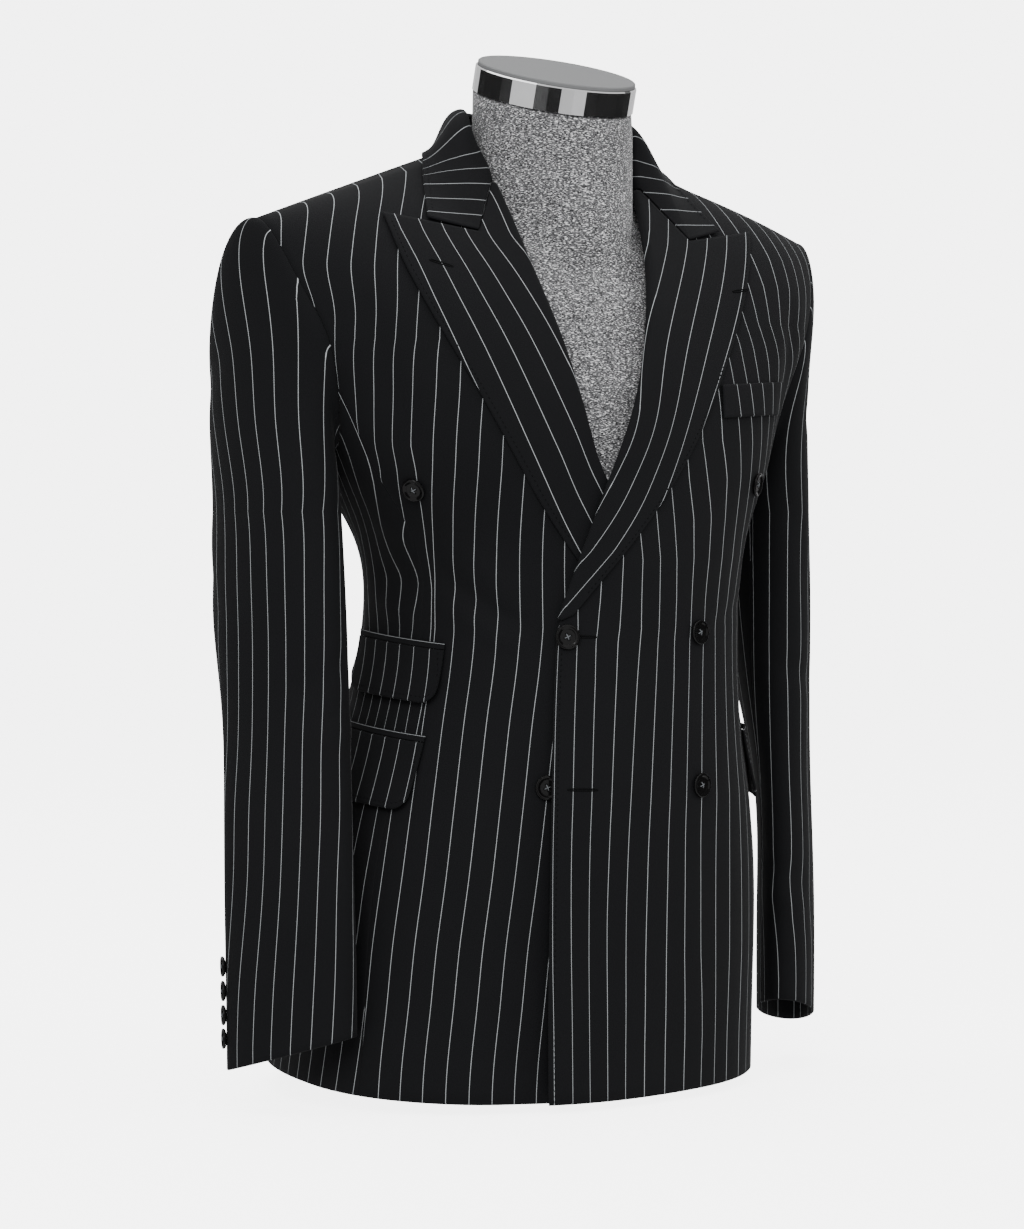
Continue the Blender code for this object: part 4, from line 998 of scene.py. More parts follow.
def plain_rim(bolt: Array) -> Array:
    """Moves the bolt places of a rim off the stripes wherever the rim runs along them.

    Args:
        bolt: the places on the bolt, round the rim.

    Returns:
        The places to use on the cut edge itself.
    """
    across, along = np.abs(np.roll(bolt, -1, axis=0) - np.roll(bolt, 1, axis=0)).T
    share = smooth(along / np.maximum(across + along, 1e-9), 0.5, 0.85)
    middle = (np.floor(bolt[:, 0] / STRIPE_PITCH) + 0.5) * STRIPE_PITCH
    return stack(bolt[:, 0] + share * (middle - bolt[:, 0]), bolt[:, 1])


@dataclass
class Cloth:
    """A piece of cloth: its outer face as a grid, the way out of it, and where its stripes run."""

    points: Array
    normals: Array
    bolt: Array
    thickness: float = WALL
    rounding: float = 0.45
    most_drawn: float = 0.45

    def rounded(self) -> Array:
        """Draws the outer grid's rim in, so that the edge turns over softly.

        Returns:
            The grid.
        """
        points = self.points.copy()
        reach = self.rounding * self.thickness
        for axis in (0, 1):
            old, new = self.points.swapaxes(0, axis), points.swapaxes(0, axis)
            for edge, inward in EDGES:
                way = old[inward] - old[edge]
                size = np.linalg.norm(way, axis=-1, keepdims=True)
                new[edge] += way / np.maximum(size, 1e-9) * np.minimum(reach, self.most_drawn * size)
        return points

    def build(self, name: str, material: Any) -> Any:
        """Makes the closed wall.

        Args:
            name: the object's name.
            material: its finish.

        Returns:
            The object.
        """
        outer = self.rounded()
        inner = outer - self.normals * self.thickness
        index = numbered(outer)
        rim, count = ring_of(index), index.size
        middle = (self.points - self.normals * self.thickness / 2).reshape(-1, 3)[rim]
        points = np.concatenate((outer.reshape(-1, 3), inner.reshape(-1, 3), middle))
        quads = quads_of(index)
        ring = 2 * count + np.arange(len(rim))
        onward, ring_onward = np.roll(rim, -1), np.roll(ring, -1)
        upper = stack(rim, ring, ring_onward, onward)
        lower = stack(ring, rim + count, onward + count, ring_onward)
        faces = np.concatenate((quads, quads[:, ::-1] + count, upper, lower))
        if not self.faces_out():
            faces = faces[:, ::-1]
        bolt = self.bolt.reshape(-1, 2)
        bolt = np.concatenate((bolt, bolt, plain_rim(bolt[rim])))
        return make_object(name, points, faces.tolist(), material, bolt)

    def faces_out(self) -> bool:
        """Says whether the grid's quads already face the way of its normals.

        Returns:
            True where they do.
        """
        r, c = self.points.shape[0] // 2, self.points.shape[1] // 2
        right = self.points[r, c + 1] - self.points[r, c - 1]
        up = self.points[r + 1, c] - self.points[r - 1, c]
        return bool(np.dot(np.cross(right, up), self.normals[r, c]) > 0)

    def area(self) -> float:
        """Gives the area of the outer face, in square metres."""
        across = self.points[:-1, 1:] - self.points[:-1, :-1]
        along = self.points[1:, :-1] - self.points[:-1, :-1]
        return float(np.linalg.norm(np.cross(across, along), axis=-1).sum())

    def flat_size(self) -> tuple[float, float]:
        """Gives the width and length of the rectangle that the piece was cut from."""
        width = float(lengths(self.points, 1)[:, -1].max())
        length = float(lengths(self.points, 0)[-1].max())
        return max(round(width, 3), LEAST_CUT), max(round(length, 3), LEAST_CUT)


@dataclass
class Maker:
    """Builds pieces of cloth and hard pieces, hides the solids that they replace, and logs their sizes."""

    finishes: Finishes
    body: Body = field(default_factory=Body)

    def cloth(self, node: str, cloth: Cloth, held: str, rests_on: Sequence[str]) -> Any:
        """Builds a piece of cloth in place of its node.

        Args:
            node: the solid that it replaces.
            cloth: its shape.
            rests_on: what carries it; not used.

        Returns:
            The object.
        """
        made = cloth.build(f"cloth_{node}", self.finishes.cloth)
        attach(made, "root")
        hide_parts(node)
        width, length = cloth.flat_size()
        share = min(max(cloth.area(), LEAST_FILL * width * length), width * length)
        list(rests_on)
        log.info("%s: cut %.0f x %.0f mm, %.4f m2, %d faces", node, width / MM, length / MM, share,
                 len(made.data.polygons))
        return made

    def trim(self, name: str, points: Array, faces: Faces, material: Any, slot: str,
             node: str | None = None) -> Any:
        """Builds a small hard or sewn piece.

        Args:
            name: the object's name.
            points: its points.
            faces: its faces.
            material: its finish.
            slot: a name for its finish; not used.
            node: the solid that it replaces, or None where it lies beside the solids.

        Returns:
            The object.
        """
        made = make_object(name, points, faces, material)
        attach(made, "root")
        if node:
            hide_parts(node)
        log.info("%s: %d faces", name, len(faces))
        return made

    def stitch(self, name: str, points: Array, normals: Array, span: tuple[float, float] = (0.02, 0.98)) -> None:
        """Sews a row of small stitches just inside a piece's edge.

        Args:
            name: the row's name.
            points: the piece's grid, turned so that the edge is its last column.
            normals: the directions out of it.
            span: the part of the edge that is sewn, as shares of its rows.
        """
        first, last = (int(share * (len(points) - 1)) for share in span)
        grid, out = points[first : last + 1, ::-1], normals[first : last + 1, ::-1]
        along = lengths(grid, 1)
        line, way = (
            np.array([[np.interp(STITCH_INSET, far, axis) for axis in row.T] for far, row in zip(along, rows)])
            for rows in (grid, out)
        )
        line = line + unit(way) * STITCH_RADIUS * 0.6
        length = lengths(line[:, None], 0)[:, 0]
        dashes = []
        for start in np.arange(STITCH_PITCH / 2, length[-1] - STITCH_LENGTH, STITCH_PITCH):
            at = start + np.linspace(0, STITCH_LENGTH, 3)
            dash = stack(*(np.interp(at, length, line[:, k]) for k in range(3)))
            dashes.append(tube(dash, STITCH_RADIUS, STITCH_SIDES))
        self.trim(name, *joined(dashes), self.finishes.black_thread, "cloth")


# Panels

ROW_SHARES = np.array((0.0, 0.16, 0.32, 0.45, 0.55, 0.63, 0.70, 0.77, 0.84, 0.92, 1.0))
ROWS_BELOW_BREAK = 6
ARMHOLE_STATIONS = 24
SIDE_SEAM_STATION = 8
SIDE_SEAM_ANGLE = np.radians(66)
BACK_SEAM_ANGLE = np.radians(118)
BACK_NECK_RISE = 0.004
ARMHOLE_BOTTOM = 0.520
ARMHOLE_WIDTH = Curve((0.520, 0.550, 0.580, 0.610, 0.640, 0.670, 0.693),
                      (0.1945, 0.2030, 0.2120, 0.2230, 0.2360, 0.2460, 0.2520))


def armhole_at(body: Body, side: Side, turn: Array, back: Array) -> Array:
    """Gives places on the body at the armhole.

    Args:
        body: the body's surface.
        side: whose armhole it is.
        turn: how far round from the shoulder tip, where half a turn is the armpit.
        back: where the turn goes round by the back.

    Returns:
        The places, as angles and levels.
    """
    half = (SHOULDER_TIP[1] - ARMHOLE_BOTTOM) / 2
    height = ARMHOLE_BOTTOM + half * (1 + np.cos(turn))
    x = side.value * ARMHOLE_WIDTH(height)
    places = np.where(back[..., None], body.place(x, height, back=True), body.place(x, height))
    places[np.cos(turn) > 1 - 1e-9, 1] = TOP_LEVEL
    places[np.cos(turn) < -1 + 1e-9, 0] = side.value * QUARTER
    return places


@dataclass
class Panel:
    """What every body panel shares: its maker, its side and its edges."""

    maker: Maker
    side: Side

    @property
    def body(self) -> Body:
        """Gives the body's surface."""
        return self.maker.body

    def armhole(self, back: bool, first: int, last: int) -> Array:
        """Gives the armhole's places between two stations, counted from the shoulder tip down to the armpit."""
        turn = np.linspace(first, last, abs(last - first) * FINE + 1) * 2 * HALF_TURN / ARMHOLE_STATIONS
        return armhole_at(self.body, self.side, turn, np.full(turn.shape, back))

    def seam(self, low_angle: float, top: Array) -> Array:
        """Gives the places of a seam from the hem up to the place top."""
        angle = self.side.value * low_angle
        bottom = np.array((angle, float(self.body.hem(angle))))
        return bottom + finer(ROW_SHARES)[:, None] * (top - bottom)

    def hem_places(self, first: float, last: float, count: int) -> Array:
        """Gives the places along the hem between two angles."""
        angle = np.linspace(first, last, count)
        return stack(angle, self.body.hem(angle))

    def lapped(self, places: Array) -> Array:
        """Moves a grid's seamed edges out by a seam's lap, so that no light shows between two pieces.

        Args:
            places: the grid's places.

        Returns:
            The moved places.
        """
        points = self.body.point(places[..., 0], places[..., 1])
        moved = places.copy()
        for edge, inward in EDGES:
            step = np.linalg.norm(points[:, inward] - points[:, edge], axis=-1)
            share = np.minimum(SEAM_LAP / np.maximum(step, 1e-6), 0.3)[:, None]
            moved[:, edge] -= share * (places[:, inward] - places[:, edge])
        top = np.linalg.norm(points[-2] - points[-1], axis=-1)
        moved[-1] -= np.minimum(SEAM_LAP / np.maximum(top, 1e-6), 0.5)[:, None] * (moved[-2] - moved[-1])
        return moved

    def shaped(self, places: Array) -> tuple[Array, Array]:
        """Gives the points and normals of cloth at places away from the fronts."""
        points, normals = self.body.at(places)
        out = FOLDS.height(self.body.chart(places, points))
        return points + normals * out[..., None], normals


def back_neck_height(x: Array | float) -> Array:
    """Gives the back neckline's height."""
    return NECK_POINT[1] + BACK_NECK_RISE * (1 - (x / NECK_POINT[0]) ** 2)


def upright_top(normals: Array) -> Array:
    """Turns the top row's directions upright, so that front and back meet squarely along the shoulder."""
    turned = normals.copy()
    turned[-1, :, 1] = 0
    return unit(turned)


class Drift(NamedTuple):
    """How stripes run at one height: how far one of them lies from where it would, and how close they are."""

    height: float
    shift: float
    pitch: float


WANDER_STEP = 35.0 * MM
# a height on the left front, then how far its stripes stray there, in mm, at each WANDER_STEP from its edge
WANDERS = (
    (0.066, -2.2, -8.5, -10.2, -3.7, 2.6, 2.6, 10.0, 10.0, 10.0),
    (0.128, -1.9, -7.4, -8.9, -2.6, 0.0, 4.9, 13.2, 13.2, 13.2),
    (0.189, -0.3, -6.0, -6.5, -1.0, 0.2, 5.1, 12.0, 12.0, 12.0),
    (0.250, 0.9, -4.3, -4.6, -0.6, 0.5, 5.3, 10.0, 10.0, 10.0),
    (0.342, 0.9, -3.8, -2.2, -1.6, -3.7, -2.4, -5.0, -5.0, -5.0),
    (0.373, 0.9, -4.8, -1.0, -3.2, -4.8, -5.8, -7.0, -7.0, -7.0),
    (0.403, -1.5, -0.5, 0.1, -1.0, -2.5, -0.9, 1.0, 1.0, 1.0),
    (0.434, -1.5, 2.0, 1.7, -0.4, 2.2, 5.2, 12.0, 12.0, 12.0),
    (0.465, -1.5, 0.0, -2.0, -2.8, 4.0, 7.7, 12.0, 12.0, 12.0),
    (0.495, -1.5, 0.0, -4.0, -6.0, -0.4, 10.2, 10.2, 12.0, 12.0),
    (0.526, -1.5, 0.0, -4.0, -7.0, -5.2, 6.4, 11.2, 8.0, 8.0),
    (0.590, 0.0, 0.0, -2.0, -3.0, 0.0, 3.2, 2.0, 4.3, 6.5),
    (0.620, 0.0, 0.0, -1.0, -1.5, 0.0, 3.0, 0.0, -3.0, -6.0),
    (0.650, 0.0, 0.0, 0.0, 0.0, 0.0, 3.0, 2.0, 4.0, 7.0),
    (0.674, 0.0, 0.0, 0.0, 0.0, 0.0, 3.0, 3.0, 5.0, 13.0),
    (0.720, 0.0, 0.0, 0.0, 0.0, 0.0, 3.0, 6.0, 8.0, 14.0),
)
SIDE_DRIFTS = (
    Drift(0.080, 0.0073, 0.0175), Drift(0.169, 0.0073, 0.0175), Drift(0.191, 0.0055, 0.0175),
    Drift(0.214, 0.0030, 0.0175), Drift(0.236, 0.0005, 0.0170), Drift(0.325, 0.0005, 0.0125),
    Drift(0.395, -0.0075, 0.0160), Drift(0.418, -0.0075, 0.0168), Drift(0.441, 0.0015, 0.0134),
    Drift(0.464, 0.0160, 0.0110), Drift(0.487, 0.0250, 0.0100), Drift(0.560, 0.0250, 0.0100),
)


def drifted(across: Array, height: Array, drifts: Sequence[Drift]) -> Array:
    """Moves places across a piece so that its stripes run as a table of drifts says."""
    shift, pitch = (curve(height) for curve in curves(drifts))
    return (across - shift) * STRIPE_PITCH / pitch


@dataclass
class Front(Panel):
    """A front, from its free edge round to the side panel and up to the shoulder."""

    columns: int = 10
    dart_place: float = 98.0 * MM
    dart_past: float = 1.6 * MM
    dart_width: float = 0.9 * MM
    left_pitch: float = 17.15 * MM
    left_drift: float = 6.0 * MM
    left_drift_band: tuple[float, float] = (0.06, 0.24)
    first_stripe: float = 28.0 * MM
    chest_from: float = 115.0 * MM
    chest_ease: float = 0.17
    chest_rise: tuple[float, float] = (0.47, 0.51)
    chest_fall: tuple[float, float] = (0.61, 0.66)
    top_gap: float = 0.004
    edge_top: float = 0.6
    lean: Curve = Curve(
        (0.030, 0.052, 0.097, 0.142, 0.187, 0.232, 0.276, 0.321, 0.343, 0.400, 0.4714,
         0.5017, 0.532, 0.5625, 0.593, 0.623, 0.6535, 0.684, 0.694, 0.707, 0.721, 0.735),
        (-0.0307, -0.0293, -0.0245, -0.0205, -0.0153, -0.0110, -0.0074, -0.0040, -0.0020, 0.0, 0.0010,
         0.0020, 0.0040, 0.0084, 0.0140, 0.0240, 0.0350, 0.0475, 0.0531, 0.0625, 0.0740, 0.0860),
    )
    intake: tuple[tuple[float, ...], tuple[float, ...]] = (
        (0.2925, 0.2935, 0.3000, 0.3210, 0.3810, 0.4110, 0.4410, 0.4714, 0.5017, 0.5200),
        (0.0, 0.0115, 0.0125, 0.0138, 0.0136, 0.0145, 0.0110, 0.0085, 0.0040, 0.0),
    )

    def outer_edge(self) -> Array:
        """Gives the side seam, then the armhole up to the shoulder tip."""
        armhole = self.armhole(False, SIDE_SEAM_STATION, 0)
        return np.concatenate((self.seam(SIDE_SEAM_ANGLE, armhole[0])[:-1], armhole))

    def inner_edge(self, rows: int) -> Array:
        """Gives the free edge: straight up to the break, then the roll line to the neck.

        Args:
            rows: how many places it has.

        Returns:
            The places.
        """
        side, roll = self.side.value, ROLLS[self.side]
        start = roll[0].height
        below = finer(ROW_SHARES)[: ROWS_BELOW_BREAK * FINE + 1]
        hem = self.body.hem(-side * QUARTER / 4)
        low = hem + below / below[-1] * (start - hem)
        high = np.linspace(start, NECK_POINT[1] - self.top_gap, rows - len(low) + 1)[1:]
        height = np.concatenate((low, high))
        edge_x = self.body.left_edge(height) if self.side is Side.LEFT else RIGHT_EDGE_X
        x = np.where(height <= start, edge_x, drawn(roll)(height))
        x = x + smooth(height, roll[-1].height, NECK_POINT[1]) * (side * NECK_POINT[0] - x)
        return self.body.place(x, height)

    def places(self) -> Array:
        """Fills the front between its edges.

        Returns:
            The grid of places.
        """
        side, outer = self.side.value, self.outer_edge()
        inner = self.inner_edge(len(outer))
        count = self.columns * FINE + 1
        bottom = self.hem_places(inner[0, 0], outer[0, 0], count)
        top_x = np.linspace(side * NECK_POINT[0], side * SHOULDER_TIP[0], count)
        top = self.body.place(top_x, self.body.ridge(top_x))
        top[:, 1] = TOP_LEVEL
        inner[-1], outer[-1] = top[0], top[-1]
        return self.lapped(patch(bottom, top, inner, outer))

    def from_edge(self, places: Array, height: Array) -> Array:
        """Gives how far round the body places lie from the left front's edge, positive to the wearer's left."""
        edge_x = self.body.left_edge(np.minimum(height, BREAK_HEIGHT))
        start = self.body.place(edge_x, np.minimum(height, self.edge_top))
        return self.body.arc(places[..., 0], places[..., 1]) - self.body.arc(start[..., 0], places[..., 1])

    def bolt(self, places: Array, height: Array) -> Array:
        """Gives where the front lies on the bolt of cloth.

        Args:
            places: the front's places.
            height: how high they are.

        Returns:
            How far across and along the bolt each one lies.
        """
        away = self.from_edge(places, height)
        if self.side is Side.LEFT:
            drift = self.left_drift * (1 - smooth(height, *self.left_drift_band))
            across = (away - drift) * STRIPE_PITCH / self.left_pitch
            return stack(across - self.wander(across, height), height)
        across = -away + self.lean(height)
        chest = smooth(height, *self.chest_rise) * (1 - smooth(height, *self.chest_fall))
        across = across + self.chest_ease * np.maximum(across - self.chest_from, 0) * chest
        seam = self.dart_place + self.dart_past
        past = np.clip((across - seam) / self.dart_width + 0.5, 0, 1)
        return stack(across + past * np.interp(height, *self.intake) - self.first_stripe, height)

    @staticmethod
    def wander(across: Array, height: Array) -> Array:
        """Gives how far the left front's stripes stray where its cloth is shaped.

        Args:
            across: how far from the front's edge it is asked.
            height: how high.

        Returns:
            The distances.
        """
        at, *table = zip(*WANDERS)
        columns = stack(*(np.interp(height, at, column) for column in table))
        place = np.clip(across / WANDER_STEP, 0, len(table) - 1.001)
        index = place.astype(int)[..., None]
        low = np.take_along_axis(columns, index, axis=-1)[..., 0]
        high = np.take_along_axis(columns, index + 1, axis=-1)[..., 0]
        return (low + (place - index[..., 0]) * (high - low)) * MM

    def to_dart(self, places: Array) -> Array:
        """Moves the columns of the grid so that two of them run down the dart's seam.

        Args:
            places: the grid's places.

        Returns:
            The moved places.
        """
        height = self.body.point(places[..., 0], places[..., 1])[..., 2]
        across = -self.from_edge(places, height) + self.lean(height)
        columns = places.shape[1]
        seam = self.dart_place + self.dart_past
        wanted = (seam - self.dart_width / 2, seam + self.dart_width / 2)
        index = np.arange(columns, dtype=float)
        middle = int(np.median([np.interp(seam, row, index) for row in across]))
        moved = places.copy()
        for r, row in enumerate(across):
            low, high = (float(np.interp(value, row, index)) for value in wanted)
            if not 2 < low < columns - 3:
                continue
            knots = (0, middle, middle + 1, columns - 1)
            at = np.interp(index, knots, (0, low, high, columns - 1))
            for k in range(2):
                moved[r, :, k] = np.interp(at, index, places[r, :, k])
        return moved

    def build(self) -> None:
        """Builds the front."""
        places = self.places()
        if self.side is Side.RIGHT:
            places = self.to_dart(places)
        height = self.body.point(places[..., 0], places[..., 1])[..., 2]
        points, normals = self.body.on_front(self.side, places)
        cloth = Cloth(points, upright_top(normals), self.bolt(places, height))
        self.maker.cloth(f"front_{self.side.word}", cloth, "draped", ["form_torso"])
        if self.side is Side.LEFT:
            below = ROWS_BELOW_BREAK * FINE
            self.maker.stitch("front_edge_stitches", points[:below, ::-1], normals[:below, ::-1])


@dataclass
class SidePanel(Panel):
    """A side panel, which runs under the arm from the front to the back."""

    def build(self) -> None:
        """Builds the side panel."""
        last_station = ARMHOLE_STATIONS // 2
        fore = self.armhole(False, SIDE_SEAM_STATION, last_station)
        aft = self.armhole(True, last_station, SIDE_SEAM_STATION)
        top = np.concatenate((fore, aft[1:]))
        first = self.seam(SIDE_SEAM_ANGLE, top[0])
        last = self.seam(BACK_SEAM_ANGLE, top[-1])
        bottom = self.hem_places(first[0, 0], last[0, 0], len(top))
        places = self.lapped(patch(bottom, top, first, last))
        points, normals = self.shaped(places)
        arc = self.body.arc(places[..., 0], places[..., 1])
        middle = (arc[:, :1] + arc[:, -1:]) / 2
        across = drifted(-self.side.value * (arc - middle), points[..., 2], SIDE_DRIFTS)
        cloth = Cloth(points, normals, stack(across, points[..., 2]))
        self.maker.cloth(f"side_panel_{self.side.word}", cloth, "hung", ["form_torso"])


@dataclass
class Back(Panel):
    """A back, from the side panel to the centre back seam."""

    shoulder_columns: int = 6
    neck_columns: int = 4

    def build(self) -> None:
        """Builds the back."""
        side = self.side.value
        armhole = self.armhole(True, SIDE_SEAM_STATION, 0)
        first = np.concatenate((self.seam(BACK_SEAM_ANGLE, armhole[0])[:-1], armhole))
        shoulder_x = np.linspace(SHOULDER_TIP[0], NECK_POINT[0], self.shoulder_columns * FINE + 1)
        neck_x = np.linspace(NECK_POINT[0], 0, self.neck_columns * FINE + 1)[1:]
        shoulder = self.body.place(side * shoulder_x, self.body.ridge(shoulder_x), back=True)
        shoulder[:, 1] = TOP_LEVEL
        neck = self.body.place(side * neck_x, back_neck_height(neck_x), back=True)
        neck[-1, 0] = side * HALF_TURN
        top = np.concatenate((shoulder, neck))
        last_level = np.linspace(self.body.hem(side * HALF_TURN), top[-1, 1], len(first))
        last = stack(side * HALF_TURN, last_level)
        bottom = self.hem_places(first[0, 0], side * HALF_TURN, len(top))
        places = self.lapped(patch(bottom, top, first, last))
        points, normals = self.shaped(places)
        arc = self.body.arc(places[..., 0], places[..., 1])
        centre = self.body.arc(np.full(arc.shape, side * HALF_TURN), places[..., 1])
        bolt = stack(side * (centre - arc) - STRIPE_PITCH / 2, points[..., 2])
        cloth = Cloth(points, upright_top(normals), bolt)
        self.maker.cloth(f"back_{self.side.word}", cloth, "hung", ["form_torso"])


# Sleeves


class Ring(NamedTuple):
    """A ring of the wearer's left sleeve: its centre, its two half sizes and how far its front turns in."""

    height: float
    x: float
    y: float
    half_wide: float
    half_thin: float
    turn_in: float


SLEEVE_RINGS = (
    Ring(0.470, 0.2245, 0.023, 0.068, 0.038, 6),
    Ring(0.400, 0.2285, 0.012, 0.0625, 0.0355, 18),
    Ring(0.320, 0.2295, -0.001, 0.0545, 0.0295, 30),
    Ring(0.250, 0.2310, -0.011, 0.052, 0.0235, 38),
    Ring(0.150, 0.2300, -0.017, 0.052, 0.0235, 40),
    Ring(0.0615, 0.2290, -0.018, 0.052, 0.0235, 40),
)
CUFF_SLANT = 0.0145
LEVEL_SLICES = 120
SLEEVE_FOLDS = {
    Side.RIGHT: FoldField((
        Fold((-0.070, 0.540), (0.010, 0.600), 0.013, -1.6 * MM),
        Fold((-0.085, 0.460), (-0.030, 0.380), 0.012, -1.5 * MM),
        Fold((0.080, 0.500), (0.060, 0.390), 0.012, -1.5 * MM),
        Fold((0.085, 0.360), (0.010, 0.330), 0.010, -1.4 * MM),
        Fold((0.085, 0.310), (0.020, 0.300), 0.010, 1.0 * MM),
        Fold((0.000, 0.250), (0.010, 0.090), 0.016, 0.9 * MM),
    )),
    Side.LEFT: FoldField((
        Fold((0.070, 0.540), (-0.010, 0.600), 0.013, -1.6 * MM),
        Fold((0.080, 0.480), (0.055, 0.380), 0.012, -1.5 * MM),
        Fold((-0.080, 0.500), (-0.060, 0.390), 0.012, -1.5 * MM),
        Fold((0.085, 0.350), (0.010, 0.330), 0.010, -1.4 * MM),
        Fold((0.085, 0.195), (0.030, 0.165), 0.009, -1.3 * MM),
        Fold((0.085, 0.165), (0.025, 0.140), 0.009, 1.0 * MM),
    )),
}
# height, shift and pitch of each sleeve's stripes
SLEEVE_DRIFTS = {
    Side.RIGHT: (
        Drift(0.067, -0.0076, 0.0156), Drift(0.113, -0.0045, 0.0156), Drift(0.157, -0.0002, 0.0148),
        Drift(0.202, 0.0032, 0.0143), Drift(0.246, 0.0061, 0.0145), Drift(0.290, 0.0116, 0.0142),
        Drift(0.335, 0.0209, 0.0145), Drift(0.381, 0.0318, 0.0148), Drift(0.426, 0.0413, 0.0155),
        Drift(0.471, 0.0490, 0.0164), Drift(0.540, 0.0502, 0.0190), Drift(0.592, 0.0543, 0.0215),
        Drift(0.637, 0.0498, 0.0255), Drift(0.660, 0.0430, 0.0260), Drift(0.700, 0.0290, 0.0260),
    ),
    Side.LEFT: (
        Drift(0.091, 0.0472, 0.0160), Drift(0.123, 0.0490, 0.0160), Drift(0.156, 0.0530, 0.0152),
        Drift(0.188, 0.0515, 0.0160), Drift(0.253, 0.0530, 0.0155), Drift(0.318, 0.0605, 0.0155),
        Drift(0.382, 0.0740, 0.0150), Drift(0.415, 0.0805, 0.0150), Drift(0.471, 0.0888, 0.0155),
        Drift(0.540, 0.0945, 0.0165), Drift(0.700, 0.0945, 0.0175),
    ),
}


def level_arcs(points: Array, middle: int) -> Array:
    """Gives how far each point of a grid lies from the middle column, measured over the cloth at one height.

    Args:
        points: the grid, whose columns run downward.
        middle: the column to measure from.

    Returns:
        The distances, negative before the middle column.
    """
    height = np.minimum.accumulate(points[..., 2], axis=0)
    at = np.linspace(height.min(), height.max(), LEVEL_SLICES)
    columns = range(points.shape[1])
    slices = np.stack([
        stack(*(np.interp(at, height[::-1, c], points[::-1, c, axis]) for axis in range(2))) for c in columns
    ], axis=1)
    along = lengths(slices, 1)
    along = along - along[:, middle : middle + 1]
    return np.stack([np.interp(height[:, c], at, along[:, c]) for c in columns], axis=1)


